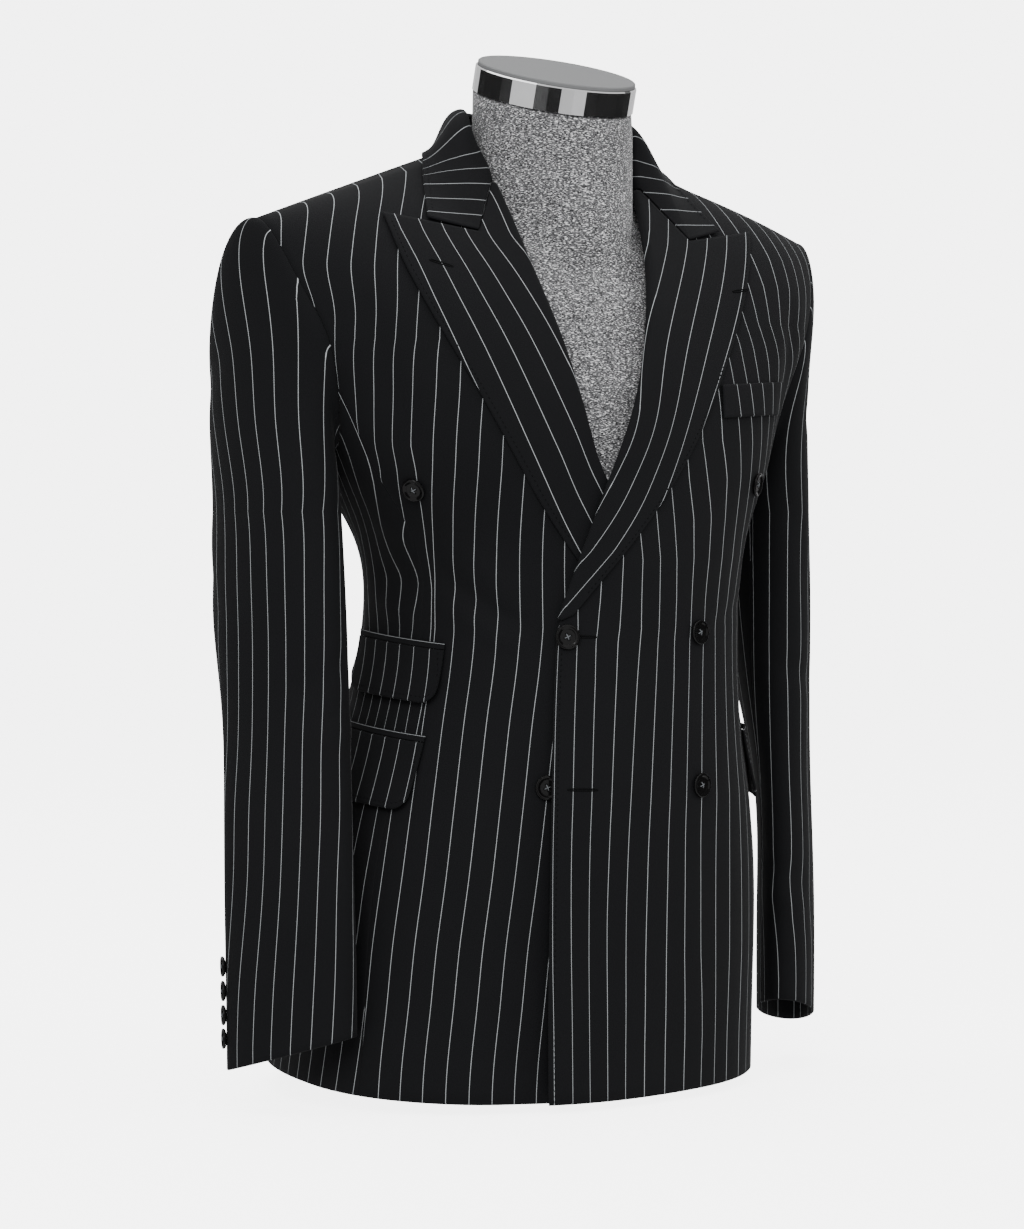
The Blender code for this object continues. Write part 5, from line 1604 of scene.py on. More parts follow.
@dataclass
class Sleeve:
    """A two-piece sleeve with its row of cuff buttons."""

    maker: Maker
    side: Side
    head_rows: int = 7
    low_rows: int = 9
    under: tuple[int, int] = (9, 19)
    right_elbow: tuple[float, float] = (-0.0020, -0.0010)
    right_cuff: tuple[float, float] = (0.0085, -0.0130)
    right_band: tuple[float, float] = (-0.34, -0.15)
    cuff_buttons: int = 4
    lowest_button: float = 0.038
    button_pitch: float = 0.0168
    button_turn: float = float(np.radians(-76))
    button_radius: float = 7.8 * MM
    tuck: float = 0.8 * MM
    smooth_top: float = 0.03
    head_out: tuple[float, float] = (0.030, 0.045)
    head_back: tuple[float, float] = (0.062, 0.020)
    head_rise: tuple[float, float] = (-0.03, 0.055)
    head_drop: tuple[float, float] = (0.05, 0.21)
    head_swell: float = 0.012

    def __post_init__(self) -> None:
        """Makes the curves of the sleeve's rings, over how far down they are."""
        down = [ring._replace(height=-ring.height, turn_in=np.radians(ring.turn_in)) for ring in SLEEVE_RINGS]
        self.x, self.y, self.wide, self.thin, self.turn_in = curves(down)

    def centre(self, height: Array) -> tuple[Array, Array]:
        """Gives the middle of the sleeve.

        Args:
            height: how high.

        Returns:
            How far outward and how far toward the back it lies.
        """
        x, y = self.x(-height), self.y(-height)
        if self.side is Side.LEFT:
            return x, y
        low = smooth(-height, *self.right_band)
        return (x + self.right_elbow[0] + low * (self.right_cuff[0] - self.right_elbow[0]),
                y + self.right_elbow[1] + low * (self.right_cuff[1] - self.right_elbow[1]))

    def ring(self, turn: Array, height: Array) -> Array:
        """Gives points on the sleeve below its head.

        Args:
            turn: how far round they are, from its outer side to its front.
            height: how high they are.

        Returns:
            The points.
        """
        centre_x, centre_y = self.centre(height)
        wide, thin, turn_in = self.wide(-height), self.thin(-height), self.turn_in(-height)
        out, fore = thin * np.cos(turn), wide * np.sin(turn)
        x = centre_x + out * np.cos(turn_in) - fore * np.sin(turn_in)
        y = centre_y - fore * np.cos(turn_in) - out * np.sin(turn_in)
        low = smooth(-height, -SLEEVE_RINGS[-3].height, -SLEEVE_RINGS[-1].height)
        return stack(self.side.value * x, y, height + low * CUFF_SLANT * np.sin(turn))

    def armhole_points(self, turn: Array) -> Array:
        """Gives the armhole's edge on the body for a turn round the sleeve."""
        places = armhole_at(self.maker.body, self.side, turn, np.sin(turn) < 0)
        return self.maker.body.point(places[..., 0], places[..., 1])

    def point(self, turn: Array, along: Array) -> Array:
        """Gives points on the whole sleeve.

        Args:
            turn: how far round they are, from its outer side to its front.
            along: how far down, where 0 is at the armhole, 1 at the first ring and 2 at the cuff.

        Returns:
            The points.
        """
        side = self.side.value
        edge = self.armhole_points(turn)
        first = self.ring(turn, np.full(turn.shape, SLEEVE_RINGS[0].height))
        top = 0.5 + 0.5 * np.cos(turn)
        outward = stack(side * (self.head_out[0] + self.head_out[1] * top),
                        self.head_back[0] * top - self.head_back[1] * np.sin(turn),
                        self.head_rise[0] + self.head_rise[1] * top)
        downward = stack(0.0, 0.0, -(self.head_drop[0] + self.head_drop[1] * top))
        swell = stack(0.0, self.head_swell * top**2, 0.0)
        t = np.clip(along, 0, 1)[..., None]
        head = bridge(edge, outward, first, downward, t) + 16 * (t * (1 - t)) ** 2 * swell
        low, high = SLEEVE_RINGS[-1].height, SLEEVE_RINGS[0].height
        height = high + np.clip(along - 1, 0, 1) * (low - high)
        return np.where(along[..., None] < 1, head, self.ring(turn, height))

    def piece(self, first: int, last: int, name: str) -> None:
        """Builds the upper or under part.

        Args:
            first: the armhole station that it starts at.
            last: the one that it ends at.
            name: the node that it replaces.
        """
        step = 2 * HALF_TURN / ARMHOLE_STATIONS
        turn = np.linspace(first, last, (last - first) * FINE + 1) * step
        turn = np.concatenate((turn[:1] - step / FINE, turn, turn[-1:] + step / FINE))
        along = np.concatenate((np.linspace(0, 1, self.head_rows * FINE + 1),
                                np.linspace(1, 2, self.low_rows * FINE + 1)[1:]))
        turn, along = np.meshgrid(turn, along)
        points = self.point(turn, along)
        normals = self.side.value * unit(np.cross(np.gradient(points, axis=1), np.gradient(points, axis=0)))
        points, normals, turn = points[:, 1:-1], normals[:, 1:-1], turn[:, 1:-1]
        down, height = lengths(points, 0), points[..., 2]
        if first > self.under[0]:
            around = level_arcs(points, int(np.abs(np.sin(turn[0] / 2)).argmin()))
            folds = SLEEVE_FOLDS[self.side].height(stack(around, height))
            points = points + normals * (folds * smooth(down, 0.0, self.smooth_top))[..., None]
            around = drifted(around, height, SLEEVE_DRIFTS[self.side])
            rise = np.arange(FINE, 0, -1)[:, None] / FINE
            around[:FINE] = around[FINE] + (around[FINE] - around[2 * FINE]) * rise
        else:
            around = lengths(points, 1)
            around = around - around[:, -1:] / 2
        for rim, inward in EDGES:
            points[:, rim] -= unit(points[:, inward] - points[:, rim]) * SEAM_LAP
        points[0] -= unit(points[1] - points[0]) * self.tuck
        self.maker.cloth(name, Cloth(points, normals, stack(around, down)), "hung", [f"front_{self.side.word}"])

    def cuff_button(self, index: int) -> None:
        """Builds one of the buttons beside the back seam of the cuff.

        Args:
            index: which it is, counted from the lowest.
        """
        height = np.array([SLEEVE_RINGS[-1].height - CUFF_SLANT + self.lowest_button + index * self.button_pitch])
        turn, step = np.array([self.button_turn]), 1e-3
        point = self.ring(turn, height)[0]
        around = self.ring(turn + step, height)[0] - self.ring(turn - step, height)[0]
        up = self.ring(turn, height + step)[0] - self.ring(turn, height - step)[0]
        normal = unit(np.cross(around, up)) * self.side.value
        middle = np.array((self.side.value * float(self.x(-height[0])), float(self.y(-height[0]))))
        if np.dot(normal[:2], point[:2] - middle) < 0:
            normal = -normal
        name = f"cuff_button_{self.side.word}_{index + 1}"
        Button(self.maker, name, self.button_radius).build(point + normal * BUTTON_LIFT, normal)

    def build(self) -> None:
        """Builds both parts and the buttons."""
        first, last = self.under
        self.piece(last, ARMHOLE_STATIONS + first, f"upper_sleeve_{self.side.word}")
        self.piece(first, last, f"under_sleeve_{self.side.word}")
        for index in range(self.cuff_buttons):
            self.cuff_button(index)


# Lapels and collar


def curl(base: Array, aside: Array, normals: Array, radius: Array, steps: int,
         reach: float) -> tuple[Array, Array]:
    """Turns a sheet's edge round a line.

    Args:
        base: the middle of the turn, along the line.
        aside: the direction away from the sheet.
        normals: the direction out of the sheet where it leaves the turn.
        radius: how far off the middle the sheet lies.
        steps: how many columns the turn has.
        reach: how far round it goes, in radians.

    Returns:
        The columns' points and normals.
    """
    directions = [aside * np.sin(a) + normals * np.cos(a) for a in np.linspace(reach, 0, steps + 1)[:-1]]
    points = [base + direction * radius for direction in directions]
    return np.stack(points, axis=1), np.stack(directions, axis=1)


def off_edge(edge: Array, normals: Array, points: Array) -> Array:
    """Gives the direction that leaves a sheet square to its first column.

    Args:
        edge: the line along the first column.
        normals: the directions out of the sheet there.
        points: the sheet's points.

    Returns:
        The directions, of length 1.
    """
    aside = unit(np.cross(unit(np.gradient(edge, axis=0)), normals))
    return away_from(aside, points[:, 1] - points[:, 0])


def to_line(points: Array, line: Array) -> Array:
    """Gives each point's distance to a drawn line, which goes straight on past its ends.

    Args:
        points: the points, as drawn.
        line: the line's own points.

    Returns:
        The distances.
    """
    line = np.concatenate((line[:1] + 3 * (line[:1] - line[1:2]), line, line[-1:] + 3 * (line[-1:] - line[-2:-1])))
    start, run = line[:-1], np.diff(line, axis=0)
    away = points[..., None, :] - start
    t = np.clip((away * run).sum(-1) / (run * run).sum(-1), 0, 1)
    return np.linalg.norm(away - t[..., None] * run, axis=-1).min(axis=-1)


def bent(start: Array, middle: tuple[float, float], end: Array, before: int, after: int) -> Array:
    """Draws a line in two straight parts.

    Args:
        start: where it starts.
        middle: where it turns.
        end: where it ends.
        before: how many of the solid's cells lie before the turn.
        after: how many lie after it.

    Returns:
        Its points.
    """
    turn = np.array(middle)
    inward = np.linspace(0, 1, before * FINE + 1)[:, None]
    outward = np.linspace(0, 1, after * FINE + 1)[1:, None]
    return np.concatenate((start + inward * (turn - start), turn + outward * (end - turn)))


# height, shift and pitch of each lapel's stripes
LAPEL_DRIFTS = {
    Side.RIGHT: (
        Drift(0.440, -0.0185, 0.0175), Drift(0.479, -0.0138, 0.0175), Drift(0.524, -0.0099, 0.0175),
        Drift(0.569, -0.0053, 0.0175), Drift(0.614, 0.0003, 0.0175), Drift(0.637, 0.0028, 0.0175),
        Drift(0.661, 0.0045, 0.0175), Drift(0.684, 0.0025, 0.0175),
    ),
    Side.LEFT: (
        Drift(0.440, -0.0240, 0.0130), Drift(0.479, -0.0180, 0.0130), Drift(0.502, -0.0125, 0.0130),
        Drift(0.525, -0.0075, 0.0130), Drift(0.548, -0.0044, 0.0140), Drift(0.571, -0.0032, 0.0160),
        Drift(0.595, -0.0024, 0.0178), Drift(0.680, -0.0012, 0.0178),
    ),
}


@dataclass
class Lapel:
    """A peaked lapel: it lies on the front and curls round the roll line at its inner edge."""

    maker: Maker
    side: Side
    rows: int = 14
    inner_columns: int = 2
    outer_columns: int = 3
    curl_steps: int = 10
    gap: float = 1.0 * MM
    bloom: float = 3.0 * MM
    first_stripe: float = 6.0 * MM
    sewn: tuple[float, float] = (0.06, 0.985)

    @property
    def starts(self) -> tuple[float, float]:
        """Gives how high the lapel's lower end is on its roll and on its outer edge."""
        return (0.388, 0.392) if self.side is Side.LEFT else (0.445, 0.400)

    def drawing(self) -> tuple[Array, Array]:
        """Draws the lapel as it is seen from the front.

        Returns:
            Its grid of x and height, and its outer edge.
        """
        side, roll, edge = self.side.value, ROLLS[self.side], LAPEL_EDGES[self.side]
        count = self.rows * FINE + 1
        roll_height = np.linspace(self.starts[0], roll[-1].height, count)
        edge_height = np.linspace(self.starts[1], edge[-1].height, count)
        first = stack(drawn(roll)(roll_height), roll_height)
        last = stack(drawn(edge)(edge_height), edge_height)
        top = bent(first[-1], (side * NOTCH.x, NOTCH.height), last[-1], self.inner_columns, self.outer_columns)
        bottom = first[0] + np.linspace(0, 1, len(top))[:, None] * (last[0] - first[0])
        return patch(bottom, top, first, last), last

    def build(self) -> None:
        """Builds the lapel."""
        body = self.maker.body
        drawing, edge = self.drawing()
        rows, columns = drawing.shape[:2]
        places = body.seen(drawing)
        share = np.linspace(0, 1, columns)[None, :]
        rise = smooth(np.linspace(0, 1, rows), 0.25, 0.75)[:, None]
        above = self.gap + THIN_WALL + self.bloom * (1 - share) ** 2 * rise
        points, normals = body.on_front(self.side, places, above)
        base, base_normals = body.on_front(self.side, places[:, 0])
        aside = off_edge(base, base_normals, points)
        turned, turned_normals = curl(base + aside * SEAM_GAP, aside, base_normals, above[:, :1],
                                      self.curl_steps, QUARTER)
        across = to_line(drawing, edge)
        past = np.linspace(QUARTER, 0, self.curl_steps + 1)[:-1] * above[:, :1]
        across = np.concatenate((across[:, :1] + past, across), axis=1)
        points = np.concatenate((turned, points), axis=1)
        normals = np.concatenate((turned_normals, normals), axis=1)
        across = drifted(across - self.first_stripe, points[..., 2], LAPEL_DRIFTS[self.side])
        cloth = Cloth(points, normals, stack(across, lengths(points, 0)), THIN_WALL)
        self.maker.cloth(f"lapel_{self.side.word}", cloth, "folded", [f"front_{self.side.word}"])
        self.maker.stitch(f"lapel_stitches_{self.side.word}", points, normals, self.sewn)


class Crease(NamedTuple):
    """A point of the left half of the collar's crease: share is 0 at the centre back and 1 at the gorge."""

    share: float
    x: float
    y: float
    height: float


class Rim(NamedTuple):
    """A point of the left half of the collar's outer edge, on the front, on the shoulder line or on the back."""

    share: float
    x: float
    height: float
    lies_on: str


CREASES = (
    Crease(0.00, 0.0000, 0.050, 0.787), Crease(0.25, 0.0410, 0.038, 0.787), Crease(0.48, 0.0690, 0.008, 0.786),
    Crease(0.62, 0.0755, -0.012, 0.783), Crease(0.76, 0.0770, -0.026, 0.767),
    Crease(0.86, 0.0740, -0.033, 0.751), Crease(0.94, 0.0705, -0.041, 0.735),
)
RIMS = (
    Rim(0.00, 0.0000, 0.7420, "back"), Rim(0.25, 0.0480, 0.7430, "back"), Rim(0.48, 0.0860, 0.7450, "back"),
    Rim(0.64, 0.1050, 0.7458, "line"), Rim(0.80, 0.1180, 0.7290, "front"), Rim(1.00, 0.1350, 0.6920, "front"),
)
NECK_CENTRE_Y = -0.022
NUDGE = 1e-3  # keeps a point just below the surface's upper edge


class Level(NamedTuple):
    """A stripe on the collar's front end: which it is, and its height at the crease and at the outer edge."""

    stripe: int
    inner: float
    outer: float


LEVELS = (
    Level(-2, 0.7780, 0.7560), Level(-1, 0.7640, 0.7475), Level(0, 0.7504, 0.7399), Level(1, 0.7367, 0.7328),
    Level(2, 0.7237, 0.7223), Level(3, 0.7095, 0.7108), Level(4, 0.6962, 0.6993), Level(5, 0.6830, 0.6880),
)


@dataclass
class Collar:
    """The collar: its fall, folded over at the crease, and the stand inside it."""

    maker: Maker
    stations: int = 14 * 6
    gorge_columns: int = 2
    free_columns: int = 3
    lift: float = 1.2 * MM
    gap: float = 1.0 * MM
    bloom: float = 3.0 * MM
    roll: float = 0.9
    reach: float = 1.5 * QUARTER
    curl_steps: int = 12
    widest_level: float = 1.3
    crease_radius: float = 3.2 * MM
    gorge_gap: float = 0.6 * MM
    level_span: tuple[float, float] = (0.0720, 0.1260)
    level_from: float = 0.78
    stand_end: float = 0.90
    stand_inside: float = 2.2 * MM
    stand_above: float = 0.6 * MM
    stand_columns: int = 24
    radius_band: tuple[float, float] = (0.7, 1.0)
    end_band: tuple[float, float] = (0.75, 1.0)
    blend_band: tuple[float, float] = (-0.06, 0.08)
    shoulder_share: float = 0.62

    def rim_place(self, side: int, rim: Rim) -> Array:
        """Gives the place of what a point of the collar's outer edge lies on."""
        x, height = np.array([side * rim.x]), np.array([rim.height])
        return self.maker.body.place(x, height, back=rim.lies_on == "back")[0]

    def rim_point(self, side: int, rim: Rim) -> Array:
        """Gives a point of the outer edge, just clear of what it lies on.

        Args:
            side: whose half it is on, as a sign.
            rim: the point on the left half.

        Returns:
            The point.
        """
        place = self.rim_place(side, rim)
        if rim.lies_on == "line":
            place[1] = TOP_LEVEL - NUDGE
        point, normal = self.maker.body.at(place)
        return point + normal * (self.gap + WALL + self.lift)

    def rim_normal(self, side: int, rim: Rim) -> Array:
        """Gives the direction out of what the outer edge lies on."""
        return self.maker.body.at(self.rim_place(side, rim))[1]

    def both_halves(self, of_side: Callable[[int], Array], shares: Sequence[float]) -> Array:
        """Gives a curve from the right gorge round the back to the left one.

        Args:
            of_side: gives the points of a side that it passes through, from the centre back.
            shares: how far round those points are.

        Returns:
            The curve's points.
        """
        knots = [-share for share in reversed(shares)] + list(shares[1:])
        points = np.concatenate((of_side(-1)[::-1], of_side(1)[1:]))
        at = np.linspace(-1, 1, 2 * self.stations + 1)
        return stack(*(curve(at) for curve in curves(np.column_stack((knots, points)))))

    def gorge_edge(self, side: int) -> Array:
        """Gives the collar's front end: along the gorge from the roll to the notch, then out to the corner.

        Args:
            side: whose end it is, as a sign.

        Returns:
            Its points.
        """
        roll, body = ROLLS[Side(side)][-1], self.maker.body
        corner = np.array((side * COLLAR_CORNER.x, COLLAR_CORNER.height))
        drawing = bent(np.array((roll.x, roll.height)), (side * NOTCH.x, NOTCH.height), corner, self.gorge_columns,
                       self.free_columns)
        share = np.linspace(0, 1, len(drawing))
        above = self.gap + WALL + self.lift * share + self.bloom * (1 - share) ** 2
        return body.on_front(Side(side), body.seen(drawing), above)[0]

    def surface(self) -> tuple[Array, Array]:
        """Makes the fall's grid, with rows round the neck and columns from the crease outward.

        Returns:
            The points and the normals.
        """
        ends = {side: self.gorge_edge(side) for side in (-1, 1)}
        crease = self.both_halves(
            lambda side: np.array([(side * c.x, c.y, c.height) for c in CREASES] + [ends[side][0]]),
            [c.share for c in CREASES] + [1.0])
        shares = [r.share for r in RIMS]
        rim = self.both_halves(
            lambda side: np.array([self.rim_point(side, r) for r in RIMS[:-1]] + [ends[side][-1]]), shares)
        lies_on = unit(self.both_halves(lambda side: np.array([self.rim_normal(side, r) for r in RIMS]), shares))
        chord = rim - crease
        length = np.linalg.norm(chord, axis=-1, keepdims=True)
        facing = unit(np.cross(np.gradient(crease, axis=0), chord))
        leave = unit(chord / length + self.roll * facing) * length
        arrive = unit(chord - lies_on * np.sum(chord * lies_on, axis=-1, keepdims=True)) * length
        t = np.linspace(0, 1, len(ends[1]))[None, :, None]
        points = bridge(crease[:, None], leave[:, None], rim[:, None], arrive[:, None], t)
        place = np.linspace(-1, 1, len(points))[:, None, None]
        for side in (-1, 1):
            row = 0 if side < 0 else -1
            points = points + (ends[side] - points[row]) * smooth(side * place, *self.end_band)
        points[0] += unit(points[1] - points[0]) * self.gorge_gap
        points[-1] += unit(points[-2] - points[-1]) * self.gorge_gap
        return points, unit(np.cross(np.gradient(points, axis=0), np.gradient(points, axis=1)))

    def fold(self) -> tuple[Array, Array, Array, Array, Array]:
        """Finds the fold at the fall's crease.

        Returns:
            The fall's points and normals, and the fold's middle, the direction off the fall and the fold's radius.
        """
        points, normals = self.surface()
        share = np.abs(np.linspace(-1, 1, len(points)))
        end_radius = self.gap + WALL + self.bloom
        radius = self.crease_radius + (end_radius - self.crease_radius) * smooth(share, *self.radius_band)[:, None]
        base = points[:, 0] - normals[:, 0] * radius
        return points, normals, base, off_edge(points[:, 0], normals[:, 0], points), radius

    def stripes(self, points: Array) -> Array:
        """Gives where the fall's stripes run: up and down round the neck, then level down its front ends.

        Args:
            points: the fall's grid with its fold.

        Returns:
            How far across the bolt each point lies.
        """
        share = np.abs(np.linspace(-1, 1, len(points)))[:, None]
        around = lengths(points[:, self.curl_steps :], 0)
        middle = around[:, : around.shape[1] // 2].mean(axis=1)
        middle = np.abs(middle - middle[len(middle) // 2])[:, None]
        downs = [level.stripe * STRIPE_PITCH for level in reversed(LEVELS)]
        inner, outer = (
            Curve([getattr(level, name) for level in reversed(LEVELS)], downs)(points[..., 2])
            for name in ("inner", "outer")
        )
        start, end = self.level_span
        out = np.clip((np.abs(points[..., 0]) - start) / (end - start), 0, self.widest_level)
        level = inner + out * (outer - inner)
        row = int(np.abs(share[:, 0] - self.level_from).argmin())
        reach = middle[row, 0]
        centre = STRIPE_PITCH / 2 * round(float(level[row].mean() - reach) / (STRIPE_PITCH / 2))
        back = centre + middle * (level[row].mean() - centre) / reach
        blend = smooth(share, *(self.level_from + away for away in self.blend_band))
        return back * (1 - blend) + level * blend

    def build_fall(self) -> None:
        """Builds the outer leaf."""
        points, normals, base, aside, radius = self.fold()
        turned, turned_normals = curl(base, aside, normals[:, 0], radius, self.curl_steps, self.reach)
        points = np.concatenate((turned, points), axis=1)
        normals = np.concatenate((turned_normals, normals), axis=1)
        cloth = Cloth(points, normals, stack(self.stripes(points), lengths(points, 1)))
        self.maker.cloth("collar_fall", cloth, "folded", ["back_left", "back_right"])
        self.maker.stitch("collar_stitches", points, normals)

    def neckline(self, side: int, shares: Array) -> Array:
        """Gives points on the body's neckline.

        Args:
            side: whose half they are on, as a sign.
            shares: how far they are from the centre back, where 1 is at the gorge.

        Returns:
            The points.
        """
        body, points = self.maker.body, []
        roll = ROLLS[Side(side)][-1]
        for share in shares:
            if share < self.shoulder_share:
                x = NECK_POINT[0] * np.sin(share / self.shoulder_share * QUARTER)
                place = body.place(np.array([side * x]), np.array([back_neck_height(x)]), back=True)[0]
                if share < 1e-6:
                    place[0] = side * HALF_TURN
            else:
                rise = (share - self.shoulder_share) / (1 - self.shoulder_share)
                x = side * NECK_POINT[0] + rise * (roll.x - side * NECK_POINT[0])
                z = NECK_POINT[1] - NUDGE + rise * (roll.height - NECK_POINT[1])
                place = body.place(np.array([x]), np.array([z]))[0]
            points.append(body.point(*place))
        return np.array(points)

    def build_stand(self) -> None:
        """Builds the inner leaf, which stands on the neckline inside the fall."""
        _, normals, base, aside, radius = self.fold()
        shares = np.linspace(-1, 1, len(base))
        kept = np.abs(shares) < self.stand_end
        out, across = normals[:, 0][kept], aside[kept]
        fold_end = across * np.sin(self.reach) + out * np.cos(self.reach)
        going_on = across * np.cos(self.reach) - out * np.sin(self.reach)
        top = base[kept] + fold_end * radius[kept] + going_on * 2 * SEAM_GAP
        low = np.concatenate((self.neckline(-1, -shares[kept & (shares < -1e-9)]),
                              self.neckline(1, shares[kept & (shares > -1e-9)])))
        away = unit((low - np.array((0.0, NECK_CENTRE_Y, 0.0))) * np.array((1, 1, 0)))
        low = low - away * self.stand_inside + np.array((0, 0, self.stand_above))
        share = np.linspace(0, 1, self.stand_columns + 1)[None, :, None]
        grid = top[:, None] * (1 - share) + low[:, None] * share
        facing = unit(np.cross(np.gradient(grid, axis=1), np.gradient(grid, axis=0)))
        facing = away_from(facing, away[:, None])
        bolt = stack(lengths(grid, 1) - STRIPE_PITCH / 3, lengths(grid, 0))
        self.maker.cloth("collar_stand", Cloth(grid, facing, bolt, THIN_WALL), "folded", ["collar_fall"])

    def build(self) -> None:
        """Builds both leaves."""
        self.build_fall()
        self.build_stand()


# Pockets


@dataclass
class Pocket:
    """A flapped pocket under a narrow jet."""

    maker: Maker
    name: str
    side: Side
    x: float
    height: float
    length: float
    depth: float
    gap: float
    stripe_shift: float = 6.0 * MM
    stripe_pitch: float = 15.9 * MM
    stripe_lean: float = 0.08
    slope: float = 0.09
    corner: float = 0.014
    jet_height: float = 5.0 * MM
    jet_rows: int = 7
    jet_stripe: float = 0.6 * MM
    stand_off: float = 2.5 * MM
    columns: int = 90
    rows: int = 22
    evenness: float = 0.35
    search_turn: float = 0.6 * HALF_TURN
    search_steps: int = 400

    def round_body(self, angle: float, level: float, reach: Array) -> Array:
        """Measures back round the body at one level.

        Args:
            angle: where to start.
            level: the level.
            reach: how far to go.

        Returns:
            The angles that are reached.
        """
        body = self.maker.body
        start = float(body.arc(np.array([angle]), np.array([level]))[0])
        angles = np.linspace(angle, angle + self.side.value * self.search_turn, self.search_steps)
        arcs = np.abs(body.arc(angles, np.full(angles.shape, level)) - start)
        return np.interp(reach, arcs, angles)

    def places(self, drops: Array, along: Array) -> Array:
        """Gives the places of a pocket's piece.

        Args:
            drops: how far below the pocket's line each point lies.
            along: how far each column is from the pocket's front end.

        Returns:
            The places.
        """
        angle, level = self.maker.body.place(np.array([self.x]), np.array([self.height]))[0]
        line = level + self.slope * along[None, :] - drops
        rows = [
            [self.round_body(angle, float(line[r, c]), along[c : c + 1])[0] for c in range(line.shape[1])]
            for r in range(line.shape[0])
        ]
        return stack(rows, line)

    def bolt(self, along: Array, drops: Array) -> Array:
        """Gives where the pocket's points lie on the bolt of cloth: its stripes lean forward as they go down."""
        across = (along[None, :] - self.stripe_shift + self.stripe_lean * drops) * STRIPE_PITCH / self.stripe_pitch
        return stack(across, -drops)

    def build(self) -> None:
        """Builds the jet and the flap."""
        body = self.maker.body
        turn = np.linspace(0, HALF_TURN, self.columns + 1)
        even = np.linspace(0, 1, self.columns + 1)
        along = (self.evenness * even + (1 - self.evenness) * (1 - np.cos(turn)) / 2) * self.length
        drops = np.linspace(-self.jet_height, 0, self.jet_rows)[:, None] + 0 * along[None, :]
        points, normals = body.on_front(self.side, self.places(drops, along), self.gap + THIN_WALL)
        bolt = stack(-self.jet_height - drops + self.jet_stripe, along[None, :])
        carrier, jet = f"front_{self.side.word}", Cloth(points, normals, bolt, THIN_WALL)
        self.maker.cloth(f"{self.name}_jet_{self.side.word}", jet, "laid", [carrier])
        inside = np.clip(self.corner - np.minimum(along, self.length - along), 0, self.corner)
        depth = self.depth - self.corner + np.sqrt(self.corner**2 - inside**2)
        share = np.linspace(0, 1, self.rows + 1)[:, None]
        drops = SEAM_GAP + share * (depth - SEAM_GAP)
        out = self.gap + WALL + self.stand_off * share**2 + np.zeros_like(along)
        points, normals = body.on_front(self.side, self.places(drops, along), out)
        name, flap = f"{self.name}_flap_{self.side.word}", Cloth(points, normals, self.bolt(along, drops))
        self.maker.cloth(name, flap, "hung", [carrier])
        upright, ends = (0.02, 1 - self.corner / self.depth), 2 * STITCH_INSET / self.length
        self.maker.stitch(f"{name}_stitches_fore", points[:, ::-1], normals[:, ::-1], upright)
        self.maker.stitch(f"{name}_stitches_aft", points, normals, upright)
        turned, turned_normals = points.transpose(1, 0, 2), normals.transpose(1, 0, 2)
        self.maker.stitch(f"{name}_stitches_low", turned, turned_normals, (ends, 1 - ends))


@dataclass
class ChestWelt:
    """The slanted welt of the breast pocket."""

    maker: Maker
    low_left: tuple[float, float] = (0.0862, 0.5425)
    low_right: tuple[float, float] = (0.1700, 0.5480)
    height: tuple[float, float] = (0.003, 0.026)
    gap: float = 1.2 * MM
    rows: int = 10
    columns: int = 40

    def build(self) -> None:
        """Builds the welt."""
        body = self.maker.body
        left, right, up = np.array(self.low_left), np.array(self.low_right), np.array(self.height)
        across = np.linspace(0, 1, self.columns + 1)[:, None]
        rise = np.linspace(0, 1, self.rows + 1)[:, None]
        bottom = left + across * (right - left)
        drawing = patch(bottom, bottom + up, left + rise * up, right + rise * up)
        places = body.seen(drawing)
        points, normals = body.on_front(Side.LEFT, places, self.gap + THIN_WALL)
        front = Front(self.maker, Side.LEFT)
        bolt = front.bolt(places, body.point(places[..., 0], places[..., 1])[..., 2])
        self.maker.cloth("chest_welt", Cloth(points, normals, bolt, THIN_WALL), "laid", ["front_left"])


# Buttons


